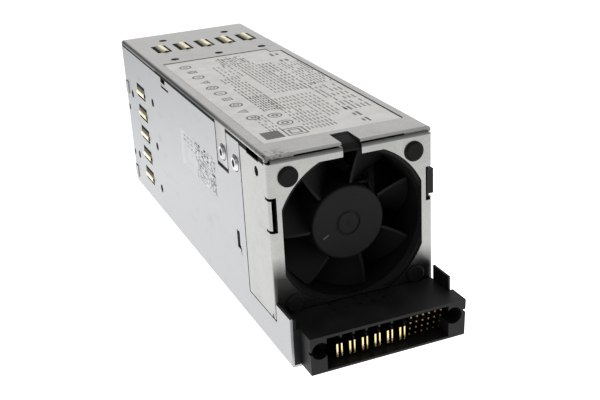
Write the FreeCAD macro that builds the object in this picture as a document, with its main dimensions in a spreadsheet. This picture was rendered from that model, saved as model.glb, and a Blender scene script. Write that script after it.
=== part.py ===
"""Hot swap power supply for a server: a long galvanised case with a fan and a blade connector on its
mating end, and an inlet, a handle and a latch on its rear end.

Frame: millimetres, +Z up. X runs across the case, Y from the fan face (y = 0) towards the rear, and
z = 0 is the underside of the case floor. The origin lies under the middle of the fan face.
"""

import FreeCAD, Part
import math
import os
from types import SimpleNamespace

import Sketcher
from FreeCAD import Placement, Rotation, Vector

SIZES = {
    # case of bent sheet steel
    "case_width": 65.5,
    "case_height": 76.4,
    "case_length": 201.6,
    "sheet": 1.0,
    "seam": 0.5,
    "bend_radius": 1.4,
    "floor_bend": 0.8,
    "skirt": 2.1,
    "lip_overlap": 2.0,
    "lip_gap": 0.5,
    "nose_length": 13.2,
    "nose_height": 19.7,
    "nose_right_height": 13.2,
    "nose_gap": 0.3,
    "small_hole_radius": 1.6,
    "guide_bump": 0.45,
    "guide_pad_length": 4.6,
    "guide_pad_height": 6.2,
    "guide_pad_low": 3.6,
    "guide_pad_drop": 24.0,
    # fan bracket
    "bracket_depth": 27.4,
    "bracket_bottom": 12.9,
    "bracket_lip": 9.0,
    "flange_hole_radius": 1.9,
    "opening_margin": 0.9,
    "opening_flat": 1.9,
    "wire_notch_left": 3.45,
    "wire_notch_right": 4.0,
    "corner_slot_rise": 4.4,
    "corner_slot_height": 13.5,
    "corner_slot_reach": 2.85,
    "corner_strip": 0.95,
    "corner_slot_wrap": 3.7,
    "tongue_length": 10.8,
    "tongue_half": 6.0,
    # top cover
    "cover_front": 1.2,
    "cover_notch_back": 11.7,
    "cover_foot_width": 9.95,
    "cover_foot_depth": 2.4,
    "tab_front": 42.8,
    "tab_width": 12.0,
    "tab_below_screw": 5.6,
    "tab_clearance": 0.4,
    "hook_after_tab": 82.0,
    "hook_length": 6.9,
    "keyhole_low": 24.7,
    "recess_depth": 0.35,
    "recess_left_border": 4.85,
    "recess_right_border": 4.15,
    "recess_front": 14.7,
    "recess_to_windows": 21.9,
    "recess_jog_width": 5.3,
    "recess_jog_length": 5.9,
    "label_thickness": 0.2,
    "label_margin": 0.3,
    "side_sticker_length": 24.0,
    "side_sticker_height": 17.0,
    # spring fingers against interference
    "window_length": 14.3,
    "window_to_rear": 22.9,
    "window_pitch": 10.95,
    "top_window_left_border": 8.95,
    "top_window_right_border": 5.55,
    "top_window_width": 7.2,
    "side_window_low": 9.5,
    "side_window_top_border": 13.7,
    "side_window_height": 6.8,
    "finger_stock": 0.25,
    "finger_gap": 0.75,
    "finger_free": 1.7,
    "finger_root": 0.35,
    "finger_rise": 0.7,
    # screws
    "screw_head_radius": 3.1,
    "screw_head_height": 0.9,
    "screw_radius": 1.3,
    "screw_length": 4.0,
    "screw_clearance": 0.1,
    "screw_reach_in": 5.5,
    "screw_drop": 12.4,
    # fan
    "fan_side_gap": 1.75,
    "fan_top_gap": 0.6,
    "fan_floor_gap": 0.3,
    "fan_depth": 25.4,
    "fan_corner": 4.0,
    "fan_flange": 3.6,
    "fan_hole_inset": 5.0,
    "duct_margin": 1.5,
    "duct_wall": 1.2,
    "mouth_flare": 1.1,
    "mouth_depth": 2.6,
    "tip_gap": 0.6,
    "hub_radius": 14.6,
    "hub_front": 5.1,
    "hub_depth": 15.5,
    "hub_wall": 1.2,
    "hub_ring_radius": 4.4,
    "blade_inset": 1.2,
    "blade_half_thickness": 0.55,
    "blade_depth": 12.5,
    "blade_count": 7,
    "shaft_radius": 1.5,
    "bearing_radius": 3.0,
    "bearing_width": 2.5,
    "running_gap": 0.04,
    "magnet_thickness": 1.0,
    "air_gap": 0.6,
    "motor_base_thickness": 1.6,
    "strut_width": 3.0,
    "rivet_head_radius": 3.85,
    "rivet_head_height": 1.1,
    "rivet_radius": 2.1,
    "rivet_grip": 0.4,
    # connector
    "connector_front": 22.5,
    "connector_left_inset": 3.45,
    "connector_overhang": 1.15,
    "connector_taper": 0.6,
    "connector_drop": 0.25,
    "connector_under_bracket": 2.5,
    "connector_tail": 4.0,
    "connector_edge": 0.2,
    "slab_step": 0.25,
    "ear_height": 19.3,
    "ear_thickness": 1.2,
    "fin_height": 21.0,
    "fin_thickness": 0.8,
    "fin_gap": 1.8,
    "cavity_left_wall": 6.4,
    "cavity_right_wall": 7.4,
    "cavity_lower_wall": 0.9,
    "cavity_upper_wall": 1.1,
    "cavity_depth": 13.5,
    "socket_left_inset": 3.9,
    "socket_right_inset": 5.2,
    "socket_z": 9.8,
    "socket_radius": 3.35,
    "blade_tip": 18.0,
    "blade_thickness": 0.95,
    "blade_thin": 0.62,
    "blade_low": 2.6,
    "blade_high": 8.0,
    "blade_first": 16.9,
    "blade_pitch": 5.12,
    "blade_pair": 1.95,
    "pin_tip": 17.0,
    "pin_step": 0.5,
    "pin_width": 0.6,
    "pin_first": 13.8,
    "pin_low": 2.6,
    "pin_pitch": 2.54,
    # rear end
    "rear_flange": 6.0,
    "inlet_from_left": 18.75,
    "inlet_z": 17.0,
    "inlet_width": 27.0,
    "inlet_height": 19.8,
    "inlet_depth": 20.0,
    "inlet_flange": 2.0,
    "inlet_flange_thickness": 2.0,
    "inlet_wall": 1.2,
    "inlet_recess": 17.0,
    "inlet_chamfer": 4.5,
    "prong_length": 11.5,
    "prong_width": 4.0,
    "prong_thickness": 2.0,
    "prong_spacing": 14.0,
    "prong_offset": 4.0,
    "vent_radius": 2.6,
    "vent_pitch": 6.4,
    "vent_margin": 1.0,
    "handle_low": 10.0,
    "handle_drop": 7.8,
    "handle_width": 9.0,
    "handle_bar": 6.0,
    "handle_reach": 27.0,
    "handle_foot": 10.0,
    "lamp_inset": 5.75,
    "lamp_drop": 9.8,
    "lamp_radius": 1.8,
    # release latch
    "latch_pivot_inset": 3.55,
    "latch_pivot_to_rear": 33.6,
    "latch_low": 26.0,
    "latch_high": 44.0,
    "latch_boss_high": 37.0,
    "latch_pin_radius": 1.5,
    "latch_boss_radius": 3.0,
    "latch_arm_inset": 1.55,
    "latch_arm_thickness": 2.8,
    "latch_tongue_to_rear": 16.6,
    "latch_tongue_length": 8.0,
    "latch_tongue_reach": 1.8,
    "latch_pad_length": 22.0,
    "latch_window_gap": 1.3,
    "latch_swing": 6.0,
    "spring_wire": 0.5,
    "spring_radius": 2.3,
    "spring_turns": 3,
    # electronics
    "board_z": 5.0,
    "board_thickness": 1.6,
    "board_front": 6.0,
    "board_to_rear": 23.6,
    "board_side_gap": 2.75,
    "standoff_radius": 2.6,
    "standoff_inset": 4.0,
    "liner": 0.25,
    "liner_gap": 0.2,
    "liner_front": 28.6,
    "liner_headroom": 3.0,
    "heatsink_front": 40.8,
    "heatsink_length": 76.0,
    "heatsink_base": 3.0,
    "heatsink_fin": 6.0,
    "heatsink_under_screws": 13.4,
    "transformer_side_gap": 3.0,
    "transformer_low": 8.0,
    "transformer_height": 34.0,
    "transformer_leg": 5.0,
    "winding_build": 6.6,
    "winding_gap": 0.2,
    "bulk_radius": 11.0,
    "bulk_height": 42.0,
    "bulk_to_board_end": 40.0,
    "small_can_radius": 4.0,
    "small_can_height": 18.0,
    "small_can_y": 35.0,
    "small_can_pitch": 10.0,
    "toroid_radius": 15.0,
    "toroid_bore": 5.0,
    "toroid_height": 12.0,
    "toroid_to_board_end": 70.0,
    "parts_gap": 1.9,
    "filter_width": 20.0,
    "filter_depth": 16.0,
    "filter_height": 18.0,
    "filter_leg": 5.0,
}


class Size:
    """A number together with the spreadsheet expression that gives it."""

    def __init__(self, number, text):
        self.number = number
        self.text = text

    def __float__(self):
        return float(self.number)

    def __add__(self, other):
        return Size(float(self) + float(other), f"({self.text} + {words(other)})")

    def __sub__(self, other):
        return Size(float(self) - float(other), f"({self.text} - {words(other)})")

    def __mul__(self, other):
        return Size(float(self) * float(other), f"({self.text} * {words(other)})")

    def __truediv__(self, other):
        return Size(float(self) / float(other), f"({self.text} / {words(other)})")

    def __radd__(self, other):
        return Size(float(other) + float(self), f"({words(other)} + {self.text})")

    def __rsub__(self, other):
        return Size(float(other) - float(self), f"({words(other)} - {self.text})")

    def __rmul__(self, other):
        return self * other

    def __neg__(self):
        return Size(-float(self), f"(0 - {self.text})")


def words(number):
    return number.text if isinstance(number, Size) else repr(float(number))


def lesser(first, second):
    """The smaller of two sizes, whichever that is after a change."""
    return Size(min(float(first), float(second)), f"min({words(first)}; {words(second)})")


def halfway(first, second):
    return (first + second) / 2


doc = FreeCAD.newDocument("power_supply")
cells = doc.addObject("Spreadsheet::Sheet", "Sizes")
for row, (alias, number) in enumerate(SIZES.items(), start=1):
    cells.set(f"A{row}", alias)
    cells.set(f"B{row}", str(number))
    cells.setAlias(f"B{row}", alias)
doc.recompute()
s = SimpleNamespace(**{name: Size(number, f"Sizes.{name}") for name, number in SIZES.items()})

# places worked out from the sizes above
half_width = s.case_width / 2
inner_half = half_width - s.sheet
lip_half = inner_half - s.sheet
wall_top = s.case_height - s.skirt - s.seam
cover_under = s.case_height - s.sheet
seam_y = s.bracket_depth + s.seam
bracket_top = cover_under - s.lip_gap
side_screw_z = s.case_height - s.screw_drop
bracket_screw_y = s.bracket_depth + s.screw_reach_in + 0.5
cover_screw_y = s.tab_front + 4.8
tongue_low = side_screw_z - s.tongue_half
tongue_high = side_screw_z + s.tongue_half
tab_back = s.tab_front + s.tab_width
tab_bottom = side_screw_z - s.tab_below_screw
window_back = s.case_length - s.window_to_rear
window_front = window_back - s.window_length
recess_back = window_front - s.recess_to_windows
panel_front = s.case_length - s.sheet
panel_back = s.case_length

# the fan is as large as the case leaves room for, both across and between connector and lid
fan_low = s.bracket_bottom + s.fan_floor_gap
fan_half = lesser(inner_half - s.fan_side_gap, (wall_top - s.fan_top_gap - fan_low) / 2)
fan_z = fan_low + fan_half
fan_front = s.sheet
fan_back = s.sheet + s.fan_depth
duct_radius = fan_half - s.duct_margin
hub_back = s.hub_front + s.hub_depth
base_front = fan_back - s.motor_base_thickness
corner_slot_low = fan_z + s.corner_slot_rise
nodes = {}
PAST = 3.0  # how far a cutting tool runs past the face it starts from


# ---------------------------------------------------------------- helpers


def bind(thing, prop, number):
    """Gives a property its value, through the spreadsheet where the number comes from there."""
    if isinstance(number, Size):
        thing.setExpression(prop, number.text)
    else:
        thing.setExpression(prop, repr(float(number)))


def put(thing, at, turn=None):
    thing.Placement = Placement(Vector(*[float(v) for v in at]), turn or Rotation())
    for axis, number in zip("xyz", at):
        bind(thing, f"Placement.Base.{axis}", number)
    return thing


def block(low, high, name="Block"):
    """A box between its lowest and highest corners."""
    thing = doc.addObject("Part::Box", name)
    for prop, start, end in zip(("Length", "Width", "Height"), low, high):
        bind(thing, prop, end - start)
    return put(thing, low)


TURNS = {
    "X": Rotation(Vector(0, 1, 0), 90),
    "Y": Rotation(Vector(1, 0, 0), -90),
    "Z": Rotation(),
}


def rod(at, radius, length, along, name="Rod"):
    """A cylinder that starts at a point and runs in the positive direction of an axis."""
    thing = doc.addObject("Part::Cylinder", name)
    bind(thing, "Radius", radius)
    bind(thing, "Height", length)
    return put(thing, at, TURNS[along])


def cone(at, radius, end_radius, length, along, name="Cone"):
    thing = doc.addObject("Part::Cone", name)
    bind(thing, "Radius1", radius)
    bind(thing, "Radius2", end_radius)
    bind(thing, "Height", length)
    return put(thing, at, TURNS[along])


def join(pieces, name="Join"):
    thing = doc.addObject("Part::MultiFuse", name)
    thing.Shapes = pieces
    thing.Refine = True
    return thing


def group(pieces, name="Group"):
    thing = doc.addObject("Part::Compound", name)
    thing.Links = pieces
    return thing


def cut(base, tools, name="Cut"):
    thing = doc.addObject("Part::Cut", name)
    thing.Base = base
    thing.Tool = tools[0] if len(tools) == 1 else join(tools)
    return thing


def shared(first, second, name="Common"):
    thing = doc.addObject("Part::Common", name)
    thing.Base = first
    thing.Tool = second
    return thing


def ring(at, outer, inner, length, along):
    return cut(rod(at, outer, length, along), [rod(at, inner, length, along)])


def node(label, thing):
    """Registers a finished sub-part under the name of its file."""
    thing.Label = label
    nodes[label] = thing
    return thing


def new_body(name):
    return doc.addObject("PartDesign::Body", name)


def sketch_at(body, plane, level):
    """A sketch on one of the body's own planes, moved to a level along that plane's axis."""
    sketch = body.newObject("Sketcher::SketchObject", "Sketch")
    support = [f for f in body.Origin.OriginFeatures if f.Role == plane + "_Plane"][0]
    sketch.AttachmentSupport = [(support, "")]
    sketch.MapMode = "FlatFace"
    # the XZ plane looks along -Y, so its offset has the other sign
    bind(sketch, "AttachmentOffset.Base.z", -level if plane == "XZ" else level)
    return sketch


def hold(sketch, kind, item, point, number):
    index = sketch.addConstraint(Sketcher.Constraint(kind, -1, 1, item, point, float(number)))
    if isinstance(number, Size):
        sketch.setExpression(f"Constraints[{index}]", number.text)


def outline(*corners):
    """Draws a closed outline whose corners are each held by two distances from the origin."""

    def draw(sketch):
        first = sketch.GeometryCount
        points = [Vector(float(x), float(y), 0) for x, y in corners]
        for start, end in zip(points, points[1:] + points[:1]):
            sketch.addGeometry(Part.LineSegment(start, end))
        count = len(corners)
        for i, (x, y) in enumerate(corners):
            following = first + (i + 1) % count
            sketch.addConstraint(Sketcher.Constraint("Coincident", first + i, 2, following, 1))
            hold(sketch, "DistanceX", first + i, 1, x)
            hold(sketch, "DistanceY", first + i, 1, y)

    return draw


def rectangle(x_low, y_low, x_high, y_high):
    return outline((x_low, y_low), (x_high, y_low), (x_high, y_high), (x_low, y_high))


def circle(x, y, radius):
    """Draws a circle held by its centre and its radius."""

    def draw(sketch):
        centre = Vector(float(x), float(y), 0)
        item = sketch.addGeometry(Part.Circle(centre, Vector(0, 0, 1), float(radius)))
        hold(sketch, "DistanceX", item, 3, x)
        hold(sketch, "DistanceY", item, 3, y)
        index = sketch.addConstraint(Sketcher.Constraint("Radius", item, float(radius)))
        if isinstance(radius, Size):
            sketch.setExpression(f"Constraints[{index}]", radius.text)

    return draw


def feature(kind, body, plane, low, high, drawings):
    sketch = sketch_at(body, plane, low)
    for draw in drawings:
        draw(sketch)
    thing = body.newObject(f"PartDesign::{kind}", kind)
    thing.Profile = sketch
    bind(thing, "Length", high - low)
    return thing


def pad(body, plane, low, high, *drawings):
    """Adds what is drawn on a plane, from one level along that plane's axis up to another."""
    thing = feature("Pad", body, plane, low, high, drawings)
    thing.Reversed = plane == "XZ"
    return thing


def pocket(body, plane, low, high, *drawings):
    """Takes away what is drawn on a plane, between two levels along that plane's axis."""
    thing = feature("Pocket", body, plane, low, high, drawings)
    thing.Reversed = plane != "XZ"
    return thing


def round_edges(body, radius, wanted):
    """Rounds the edges of a body's last feature whose middle point and direction are wanted."""
    doc.recompute()
    last = body.Tip
    names = []
    for number, edge in enumerate(last.Shape.Edges, start=1):
        if edge.Curve.TypeId != "Part::GeomLine":
            continue
        middle = edge.valueAt((edge.FirstParameter + edge.LastParameter) / 2)
        if wanted(middle, edge.Curve.Direction, edge.Length):
            names.append(f"Edge{number}")
    thing = body.newObject("PartDesign::Fillet", "Fillet")
    thing.Base = (last, names)
    bind(thing, "Radius", radius)
    return thing


def near(value, number, reach=0.02):
    return abs(value - float(number)) < reach


def both_sides(low, high):
    """The same stretch across X on the left and on the right."""
    return [(-high, -low), (low, high)]


# ---------------------------------------------------------------- case


def row_of(first, width, last):
    """Openings at the row's pitch, as many as fit between the first one's start and a last end."""
    count = 1 + math.floor((float(last) - float(first) - float(width)) / float(s.window_pitch) + 0.01)
    starts = [first + s.window_pitch * i for i in range(count)]
    return [(low, low + width) for low in starts]


def side_windows():
    """The openings for the spring fingers in the left wall, as stretches of z."""
    return row_of(s.side_window_low, s.side_window_height, wall_top - s.side_window_top_border)


def top_windows():
    """The openings for the spring fingers in the cover, as stretches of x."""
    first = s.top_window_left_border - half_width
    return row_of(first, s.top_window_width, half_width - s.top_window_right_border)


def hole_places(stretches, ahead, behind):
    """Small holes ahead of every second opening, and behind the lands next to the row's ends."""
    spots = [(halfway(low, high), ahead) for low, high in stretches[::2]]
    for i in (0, len(stretches) - 2):
        spots.append((halfway(stretches[i][1], stretches[i + 1][0]), behind))
    return spots


def make_tray():
    """Floor and both side walls in one bent sheet, with an inward lip that carries the cover."""
    body = new_body("Tray")
    wall = half_width
    profile = [
        (-wall, 0.0),
        (wall, 0.0),
        (wall, wall_top),
        (inner_half, wall_top),
        (inner_half, cover_under),
        (lip_half, cover_under),
        (lip_half, wall_top - s.lip_overlap),
        (inner_half, wall_top - s.lip_overlap),
        (inner_half, s.sheet),
    ]
    profile += [(-x, z) for x, z in reversed(profile[2:])]
    pad(body, "XZ", -s.nose_length, s.case_length, outline(*profile))
    low_z = s.bracket_bottom - s.seam
    top_z = s.case_height + PAST
    across = (-wall - PAST, wall + PAST)
    pocket(body, "YZ", *across, rectangle(-s.nose_gap, low_z, seam_y, top_z))
    for side, top in (((-wall - PAST, 0.0), s.nose_height), ((0.0, wall + PAST), s.nose_right_height)):
        pocket(body, "YZ", *side, rectangle(-s.nose_length - PAST, top, -s.nose_gap, top_z))
    tab_low = tab_bottom - 1.8
    pocket(
        body,
        "YZ",
        *across,
        rectangle(s.tab_front - s.tab_clearance, tab_low, tab_back + s.tab_clearance, top_z),
    )
    # hook cut in the top edge, and the keyhole of the bracket's hook
    hook_y = s.tab_front + s.hook_after_tab
    hook_end = hook_y + s.hook_length
    pocket(
        body,
        "YZ",
        *across,
        rectangle(hook_y, wall_top - 2.3, hook_end, wall_top + s.sheet),
        outline(
            (hook_y - 4.6, wall_top - 4.7),
            (hook_end, wall_top - 4.7),
            (hook_end, wall_top - 3.1),
            (hook_end - 1.4, wall_top - 3.1),
            (hook_end - 1.4, wall_top - 3.7),
            (hook_y - 4.6, wall_top - 3.7),
        ),
    )
    keyhole = s.bracket_depth + 7.6
    key = s.keyhole_low
    left = (-wall - PAST, -inner_half + 0.5)
    pocket(
        body,
        "YZ",
        *left,
        outline(
            (keyhole, key + 2.8),
            (keyhole + 3.2, key + 2.8),
            (keyhole + 3.2, key + 10.3),
            (keyhole, key + 10.3),
            (keyhole, key + 4.8),
            (keyhole - 1.2, key + 3.3),
            (keyhole - 1.2, key),
        ),
    )
    pocket(
        body,
        "YZ",
        *left,
        *[rectangle(window_front, low, window_back, high) for low, high in side_windows()],
    )
    spots = hole_places(side_windows(), window_front - 14.0, window_back + 11.0)
    spots += [(z, s.case_length - 2.4) for z in (17.2, 41.9)]
    pocket(body, "YZ", *left, *[circle(y, z, s.small_hole_radius) for z, y in spots])
    tongue_front = s.case_length - s.latch_tongue_to_rear
    tongue_back = tongue_front + s.latch_tongue_length + s.latch_window_gap
    pocket(
        body,
        "YZ",
        inner_half - 0.5,
        wall + PAST,
        rectangle(
            tongue_front - s.latch_window_gap,
            s.latch_low + 1.0,
            tongue_back,
            s.latch_high - 1.0,
        ),
    )
    shank = s.screw_radius + s.screw_clearance
    pocket(body, "YZ", *across, circle(bracket_screw_y, side_screw_z, shank))
    round_edges(
        body,
        s.floor_bend,
        lambda p, d, length: near(p.z, 0) and near(abs(p.x), half_width) and abs(d.y) > 0.9,
    )
    # joggled pads behind the cover's tabs, and the guide bumps near the rear edge
    pieces = [body]
    for low, high in both_sides(lip_half, inner_half):
        joggle = block(
            (low, s.tab_front - 2.0, tab_low - 2.0),
            (high, tab_back + 2.0, wall_top - s.lip_overlap),
        )
        thread = rod((low, cover_screw_y, side_screw_z), shank, s.sheet, "X")
        pieces.append(cut(joggle, [thread]))
    back = s.case_length - 0.6
    for low, high in both_sides(half_width, half_width + s.guide_bump):
        for z in (s.guide_pad_low, wall_top - s.guide_pad_drop):
            pad_top = z + s.guide_pad_height
            pieces.append(block((low, back - s.guide_pad_length, z), (high, back, pad_top)))
    node("chassis_tray", join(pieces))


def recess_outline(inset):
    """The sunk field of the cover, or the label in it when set in by its margin."""
    left = inset + s.recess_left_border - half_width
    right = half_width - s.recess_right_border - inset
    front, back = s.recess_front + inset, recess_back - inset
    jog_x, jog_y = right - s.recess_jog_width, back - s.recess_jog_length
    return outline(
        (left, front), (right, front), (right, jog_y), (jog_x, jog_y), (jog_x, back), (left, back)
    )


def make_cover():
    """Top sheet with short skirts, a screw tab on each side and a sunk field for the label."""
    body = new_body("Cover")
    top = s.case_height
    wall = half_width
    skirt_low = top - s.skirt
    pad(
        body,
        "XZ",
        s.cover_front,
        s.case_length,
        outline(
            (-wall, skirt_low),
            (-inner_half, skirt_low),
            (-inner_half, cover_under),
            (inner_half, cover_under),
            (inner_half, skirt_low),
            (wall, skirt_low),
            (wall, top),
            (-wall, top),
        ),
    )
    round_edges(
        body,
        s.bend_radius,
        lambda p, d, length: near(p.z, s.case_height)
        and near(abs(p.x), half_width)
        and abs(d.y) > 0.9,
    )
    for low, high in both_sides(inner_half, wall):
        pad(body, "YZ", low, high, rectangle(s.tab_front, tab_bottom, tab_back, skirt_low + 0.5))
    front_low = bracket_top
    for low, high in both_sides(inner_half - s.cover_foot_width, inner_half):
        pad(
            body,
            "YZ",
            low,
            high,
            rectangle(s.cover_front, front_low, s.cover_front + s.cover_foot_depth, cover_under + 0.2),
        )
    pocket(body, "XY", top - s.recess_depth, top + PAST, recess_outline(Size(0.0, "0")))
    through = (cover_under - PAST, top + PAST)
    pocket(
        body,
        "XY",
        *through,
        rectangle(-s.wire_notch_left, -PAST, s.wire_notch_right, s.cover_notch_back),
    )
    windows = [rectangle(low, window_front, high, window_back) for low, high in top_windows()]
    pocket(body, "XY", *through, *windows)
    spots = hole_places(top_windows(), recess_back + 6.6, window_back + 9.4)
    pocket(body, "XY", *through, *[circle(x, y, s.small_hole_radius) for x, y in spots])
    shank = s.screw_radius + s.screw_clearance
    pocket(
        body,
        "YZ",
        -wall - PAST,
        wall + PAST,
        circle(cover_screw_y, side_screw_z, shank),
    )
    node("top_cover", body)


def make_label():
    """Plain foil label that fills the sunk field of the cover."""
    body = new_body("Label")
    sunk = s.case_height - s.recess_depth
    pad(body, "XY", sunk, sunk + s.label_thickness, recess_outline(s.label_margin))
    node("rating_label", body)


def make_sticker():
    """Small blank sticker on the left wall."""
    start = tab_back + 5.0
    high = tongue_high - 3.0
    node(
        "side_sticker",
        block(
            (-half_width - s.label_thickness, start, high - s.side_sticker_height),
            (-half_width, start + s.side_sticker_length, high),
        ),
    )


def make_bracket():
    """Sheet that holds the fan: a face, two side flanges and a lip bent back under the cover."""
    body = new_body("Bracket")
    wall = half_width
    low = s.bracket_bottom
    depth = s.bracket_depth
    pad(
        body,
        "XY",
        low,
        bracket_top,
        outline(
            (-wall, 0.0),
            (wall, 0.0),
            (wall, depth),
            (inner_half, depth),
            (inner_half, s.sheet),
            (-inner_half, s.sheet),
            (-inner_half, depth),
            (-wall, depth),
        ),
    )
    round_edges(
        body,
        s.bend_radius,
        lambda p, d, length: near(p.y, 0) and near(abs(p.x), half_width) and abs(d.z) > 0.9,
    )
    pad(
        body,
        "XY",
        bracket_top - s.sheet,
        bracket_top,
        rectangle(-lip_half, 0.0, lip_half, s.bracket_lip),
    )
    high = bracket_top + PAST
    pocket(
        body,
        "YZ",
        -wall - PAST,
        wall + PAST,
        rectangle(s.bracket_lip, wall_top, depth + PAST, high),
    )
    for side in both_sides(inner_half - 0.5, wall + PAST):
        pocket(body, "YZ", *side, rectangle(-PAST, wall_top, depth + PAST, high))
    round_edges(
        body,
        s.bend_radius / 2,
        lambda p, d, length: near(p.y, 0) and near(p.z, bracket_top) and abs(d.x) > 0.9,
    )
    slot_low, slot_high = corner_slot_low, corner_slot_low + s.corner_slot_height
    slot_inner = half_width - s.corner_slot_reach
    outer = half_width - s.corner_strip
    through = (-PAST, s.sheet + PAST)
    pocket(
        body,
        "XZ",
        *through,
        rectangle(-outer, slot_low, -slot_inner, slot_high),
        rectangle(slot_inner, slot_low, outer, slot_high),
        rectangle(-s.wire_notch_left, fan_z, s.wire_notch_right, s.case_height),
    )
    lip_through = (bracket_top - s.sheet - PAST, s.case_height)
    pocket(
        body,
        "XY",
        *lip_through,
        rectangle(-s.wire_notch_left, -PAST, s.wire_notch_right, s.bracket_lip + PAST),
    )
    end = s.corner_strip + 0.15
    wrap = s.corner_slot_wrap
    pocket(
        body,
        "YZ",
        -wall - PAST,
        -outer,
        rectangle(-PAST, slot_low, wrap, slot_low + end),
        rectangle(-PAST, slot_high - end, wrap, slot_high),
    )
    pocket(body, "YZ", outer, wall + PAST, rectangle(-PAST, slot_low + end, wrap, slot_high))
    pocket(
        body,
        "YZ",
        -wall - PAST,
        wall + PAST,
        circle(s.bracket_lip + s.small_hole_radius, tongue_high - 1.7, s.flange_hole_radius),
        circle(s.bend_radius * 2, low, s.bend_radius / 2),
    )
    hole = s.rivet_radius + s.screw_clearance
    pocket(body, "XZ", *through, *[circle(x, z, hole) for x, z in rivet_places()])
    disc = rod((0.0, -PAST, fan_z), fan_half + s.opening_margin, s.sheet + 2 * PAST, "Y")
    square_half = fan_half - s.opening_flat
    square = block(
        (-square_half, -PAST, fan_z - square_half),
        (square_half, s.sheet + PAST, fan_z + square_half),
    )
    face = cut(body, [shared(disc, square)])
    pieces = [face]
    for inner, outer in both_sides(lip_half, inner_half):
        tongue = block((inner, depth - 8.0, tongue_low), (outer, depth + s.tongue_length, tongue_high))
        thread = rod(
            (inner, bracket_screw_y, side_screw_z),
            s.screw_radius + s.screw_clearance,
            s.sheet,
            "X",
        )
        pieces.append(cut(tongue, [thread]))
    node("fan_bracket", join(pieces))


def side_screw(side, y):
    """A pan head screw through the side wall, with a cross recess in its head."""
    big, small = s.screw_head_radius, s.screw_head_radius * 0.8
    tall, z = s.screw_head_height, side_screw_z
    top = half_width + tall
    if side < 0:
        head = cone((-top, y, z), small, big, tall, "X")
        shank = rod((-half_width, y, z), s.screw_radius, s.screw_length, "X")
        inner, outer = -top, -top + 0.6
    else:
        head = cone((half_width, y, z), big, small, tall, "X")
        shank = rod((half_width - s.screw_length, y, z), s.screw_radius, s.screw_length, "X")
        inner, outer = top - 0.6, top
    long, short = big * 0.5, big * 0.12
    bars = [
        block((inner, y - a, z - b), (outer, y + a, z + b)) for a, b in ((long, short), (short, long))
    ]
    return cut(join([head, shank]), bars)


def make_side_screws():
    for label, y in (("cover_screw", cover_screw_y), ("bracket_screw", bracket_screw_y)):
        node(f"{label}_left", side_screw(-1, y))
        node(f"{label}_right", side_screw(1, y))


def leaf_span(low, high, turned):
    """Where a leaf lies in its window: rooted at one long side, with its free side clear of the other."""
    if turned:
        return low + s.finger_root, high - s.finger_free
    return low + s.finger_free, high - s.finger_root


def leaf(low, high, turned):
    """One bowed leaf of spring stock, about an axis along the case, rising through its window.

    It bows out of the cover or, turned, out of the left wall.
    """
    start, end = leaf_span(low, high, turned)
    half = (end - start) / 2
    middle = start + half
    rise = s.sheet + s.finger_stock + s.finger_rise
    radius = (half * half + rise * rise) / (rise * 2)
    crest = (half_width if turned else s.case_height) + s.finger_rise
    front = window_front + s.finger_gap
    length = s.window_length - s.finger_gap * 2
    root = crest - rise
    if turned:
        centre = (-(crest - radius), front, middle)
        keep = block((-crest - 1.0, front, low), (-root, front + length, high))
    else:
        centre = (middle, front, crest - radius)
        keep = block((low, front, root), (high, front + length, crest + 1.0))
    bow = cut(rod(centre, radius, length, "Y"), [rod(centre, radius - s.finger_stock, length, "Y")])
    return shared(bow, keep)


def finger_row(stretches, turned):
    """A strip of spring stock under a wall, with one bowed leaf for each window of that wall."""
    gap = s.finger_gap
    front, back = window_front - 1.5, window_back + 1.5
    first, last = stretches[0][0] - 1.5, stretches[-1][1] + 1.5
    out = (half_width if turned else s.case_height) - s.sheet
    under = out - s.finger_stock

    def flat(low, high, y_low, y_high, depth=0.0):
        if turned:
            return block((-out - depth, y_low, low), (-under + depth, y_high, high))
        return block((low, y_low, under - depth), (high, y_high, out + depth))

    holes = []
    for low, high in stretches:
        start, end = leaf_span(low, high, turned)
        low_side = start + 0.2 if turned else low + 0.2
        high_side = high - 0.2 if turned else end - 0.2
        holes.append(flat(low_side, high_side, window_front + gap / 2, window_back - gap / 2, 1.0))
    strip = cut(flat(first, last, front, back), holes)
    return join([strip] + [leaf(low, high, turned) for low, high in stretches])


def make_fingers():
    """Gilt spring fingers: a row under the cover and a column behind the left wall."""
    node("emi_fingers_top", finger_row(top_windows(), False))
    node("emi_fingers_left", finger_row(side_windows(), True))


# ---------------------------------------------------------------- fan



def rivet_places():
    pitch = fan_half - s.fan_hole_inset
    return [(x, fan_z + z) for x in (-pitch, pitch) for z in (-pitch, pitch)]


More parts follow.
